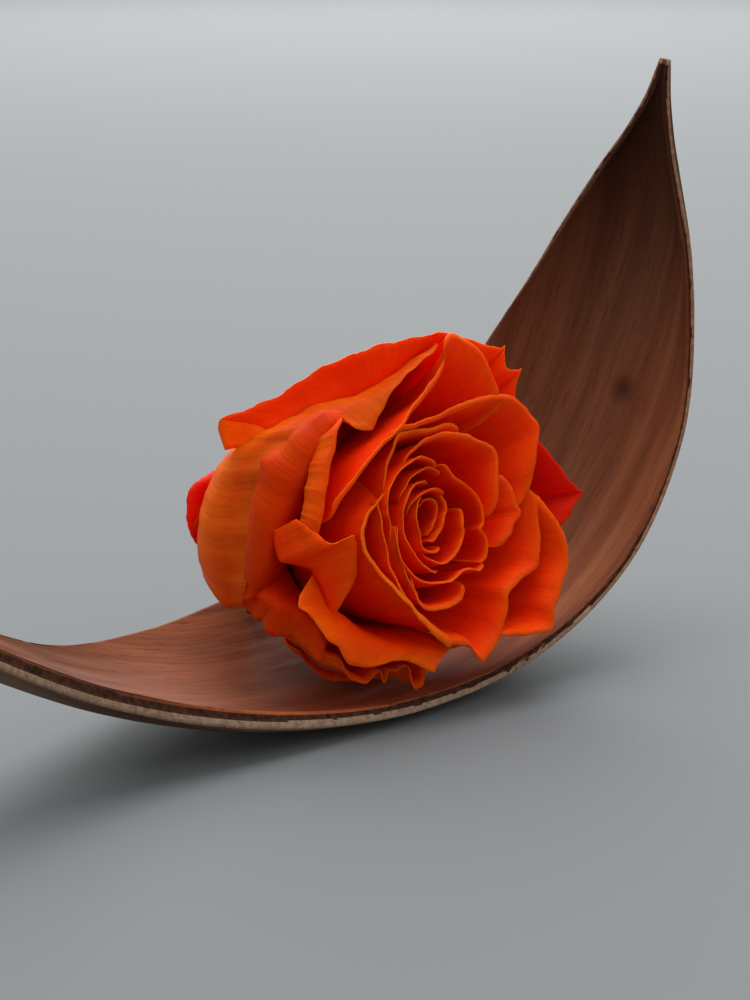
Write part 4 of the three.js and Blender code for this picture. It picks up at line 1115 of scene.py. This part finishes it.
# %% The petals drawn by their rim
for number, (layer, rim_line, *options) in enumerate(PETALS, 1):
    root, belly = LAYERS[layer]
    roll, turn = ROLLS[layer]
    shape = {"root": root, "belly": belly, "roll": roll, "turn": turn}
    for option in options:
        shape.update(option)
    # The side that faces the bloom's axis is the inside, whichever way the rim is listed.
    if rim_line[0][0] > rim_line[-1][0]:
        rim_line = rim_line[::-1]
    look = shape.pop("finish", layer)
    place = rim_petal(rim_line, seed=number, wave=WAVES[layer], **shape)
    make_petal(f"{layer}_petal_{number}", layer, place, look)
print("petals so far:", len(PETALS))

# %% The folded petals
FIRST_FOLDED_SEED = 101
folded = {}
for seed, (name, (layer, lines, *look)) in enumerate(FOLDED.items(), FIRST_FOLDED_SEED):
    lines = [line[::-1] if line[0][0] > line[-1][0] else line for line in lines]
    place = lined_petal(lines, LAYERS[layer][0], seed, WAVES[layer])
    folded[name] = make_petal(name, layer, place, *look)
print("petals:", len(PETALS) + len(folded))

# %% An ochre tip
# The far tip of the upper left petal folds over and shows its back, past these shares of its map.
TIP_FROM_SIDE, TIP_FROM_ROOT = 0.87, 0.77
petal = folded["upper_left_petal"].data
tip_finish = len(petal.materials)
petal.materials.append(finish_of["tip"])
place = np.empty(2 * len(petal.loops))
petal.uv_layers.active.data.foreach_get("uv", place)
for face in petal.polygons:
    u, v = place[2 * face.loop_start], place[2 * face.loop_start + 1]
    if u > TIP_FROM_SIDE and v > TIP_FROM_ROOT:
        face.material_index = tip_finish
print("faces of the tip:", sum(face.material_index == tip_finish for face in petal.polygons))

# %% [markdown]
# ## The core under the petals
#
# The petals stand on the receptacle, a small solid knob that nobody sees. It closes the view
# between their roots. A cone with its edges bevelled is enough for it.

# %% Core
CORE_RADIUS, CORE_TOP, CORE_LENGTH, CORE_SIDES = 6.5, 1.4, 24, 48
CORE_BEVEL = 0.6

bpy.ops.object.select_all(action="DESELECT")
bpy.ops.mesh.primitive_cone_add(
    vertices=CORE_SIDES, radius1=CORE_RADIUS * MM, radius2=CORE_TOP * MM, depth=CORE_LENGTH * MM)
core = bpy.context.object
core.name = core.data.name = "bloom_core"
core.data.transform(Matrix.Translation((0, 0, CORE_LENGTH * MM / 2)))
core.data.transform(to_bloom)
edge = core.modifiers.new("edge", "BEVEL")
edge.width = CORE_BEVEL * MM
edge.segments = 3
bpy.ops.object.modifier_apply(modifier=edge.name)
bpy.ops.object.shade_smooth()
core.data.uv_layers.active.name = "petal"
core.data.materials.append(finish_of["back"])
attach(core, "root")
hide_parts("rose_petals")
print("core faces:", len(core.data.polygons))

# %% [markdown]
# ## The calyx
#
# Under the bloom sit the hip, the cut stub of the stem, and five sepals that bent back when the
# bloom opened. The hip is a circle, extruded and scaled ring by ring as on a lathe. One sepal is
# a grid laid along its curved spine, and the other four are turned copies of it.

# %% Hip and stem
# Radius and height of each ring, from the petals down to the cut end of the stem.
HIP = [(5.8, 0), (6.4, -1.4), (6, -3.6), (4.6, -6), (3.1, -7.6), (2.6, -9), (2.6, -12.6),
       (2.2, -13)]
HIP_SIDES = 64

bpy.ops.object.select_all(action="DESELECT")
bpy.ops.mesh.primitive_circle_add(vertices=HIP_SIDES, radius=HIP[0][0] * MM, fill_type="NGON")
hip = bpy.context.object
hip.name = hip.data.name = "rose_hip"
bpy.ops.object.mode_set(mode="EDIT")
for (radius, height), (next_radius, next_height) in zip(HIP, HIP[1:]):
    step = (0, 0, (next_height - height) * MM)
    bpy.ops.mesh.extrude_region_move(TRANSFORM_OT_translate={"value": step})
    share = next_radius / radius
    bpy.ops.transform.resize(value=(share, share, 1))
bpy.ops.mesh.select_all(action="SELECT")
bpy.ops.mesh.normals_make_consistent(inside=False)
bpy.ops.object.mode_set(mode="OBJECT")
rounding = hip.modifiers.new("rounding", "SUBSURF")
rounding.levels = rounding.render_levels = 2
bpy.ops.object.modifier_apply(modifier=rounding.name)
hip.data.transform(to_bloom)
bpy.ops.object.shade_smooth()
print("hip faces:", len(hip.data.polygons))

# %% Numbers of a sepal
SEPALS = 5
SEPAL_START = math.radians(18)
SEPAL_SPINE = [(4.6, -2.2), (7.8, -1.6), (10.8, -1.9), (12.6, -2.9), (13.8, -4.4)]
SEPAL_HALF_WIDTHS = [2.6, 3.2, 2.6, 1.6, 0.5]
SEPAL_KEEL = 0.8
SEPAL_THICKNESS = 0.7
SEPAL_COLUMNS, SEPAL_ROWS = 24, 40
# Depth of the teeth at its sides as a share of its width, and how closely they follow.
TEETH, TEETH_RATE = 0.06, 40
SEPAL_WAVE = 0.12

# %% The sepals
def lay_sepal(u, v):
    """Returns the points of a sepal for u across it and v from its foot to its tip."""
    along = v * (len(SEPAL_SPINE) - 1)
    count = range(len(SEPAL_SPINE))
    reach = value_at([(n, r) for n, (r, _) in zip(count, SEPAL_SPINE)], along)
    height = value_at([(n, h) for n, (_, h) in zip(count, SEPAL_SPINE)], along)
    half = value_at(list(zip(count, SEPAL_HALF_WIDTHS)), along)
    side = 2 * u - 1
    serrated = half * (1 + TEETH * np.sin(TEETH_RATE * v) * np.abs(side) ** 3)
    drop = SEPAL_KEEL * (1 - side**2) + SEPAL_WAVE * ripple(3 * v + u, 41, [1.5, 2.7])
    return np.stack([reach, side * serrated, height - drop], -1) * MM


sepal = lay_grid("sepal_1", SEPAL_COLUMNS, SEPAL_ROWS, lay_sepal)
wall = sepal.modifiers.new("thickness", "SOLIDIFY")
wall.thickness = SEPAL_THICKNESS * MM
wall.offset = 0
bpy.ops.object.modifier_apply(modifier=wall.name)
bpy.ops.object.shade_smooth()
sepals = [sepal]
for number in range(1, SEPALS):
    turned = sepal.copy()
    turned.data = sepal.data.copy()
    turned.name = turned.data.name = f"sepal_{number + 1}"
    bpy.context.collection.objects.link(turned)
    sepals.append(turned)
for number, piece in enumerate(sepals):
    turn = SEPAL_START + number * 2 * math.pi / SEPALS
    piece.data.transform(to_bloom @ Matrix.Rotation(turn, 4, "Z"))
print("sepals:", [piece.name for piece in sepals])

# %% [markdown]
# ## Finish of the calyx
#
# The dried green parts are dull, in two tones of olive that change slowly over them, with brown
# freckles. Both patterns are plain noise on Object coordinates, since the parts show no grain.

# %% Calyx finish
BROAD, FRECKLES = (160, 160, 160), (1100, 1100, 1100)
FRECKLE_MASK = [(0.6, (0, 0, 0)), (0.7, (0.6, 0.6, 0.6))]
FRECKLE_COLOUR = (0.12, 0.055, 0.025)


def calyx_finish(name, dark, light):
    """Dried green in two tones, with brown freckles that stand out a little."""
    material, tree, shader = new_finish(name, 0.7)
    place = add_node(tree, "ShaderNodeTexCoord").outputs["Object"]
    broad = stretched_noise(tree, place, BROAD, 3)
    freckles = stretched_noise(tree, place, FRECKLES, 3, 0.6)
    colour = ramp(tree, broad, [(0.35, dark), (0.65, light)])
    colour = mix_colours(tree, ramp(tree, freckles, FRECKLE_MASK), colour, FRECKLE_COLOUR)
    tree.links.new(colour, shader.inputs["Base Color"])
    add_bump(tree, shader, freckles, 0.4, 0.12 * MM)
    return material


green = calyx_finish("dried_calyx", (0.075, 0.085, 0.022), (0.15, 0.17, 0.05))
for piece in [hip, *sepals]:
    piece.data.materials.append(green)
    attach(piece, "root")
    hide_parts("rose_calyx")
print("calyx pieces:", len(sepals) + 1)
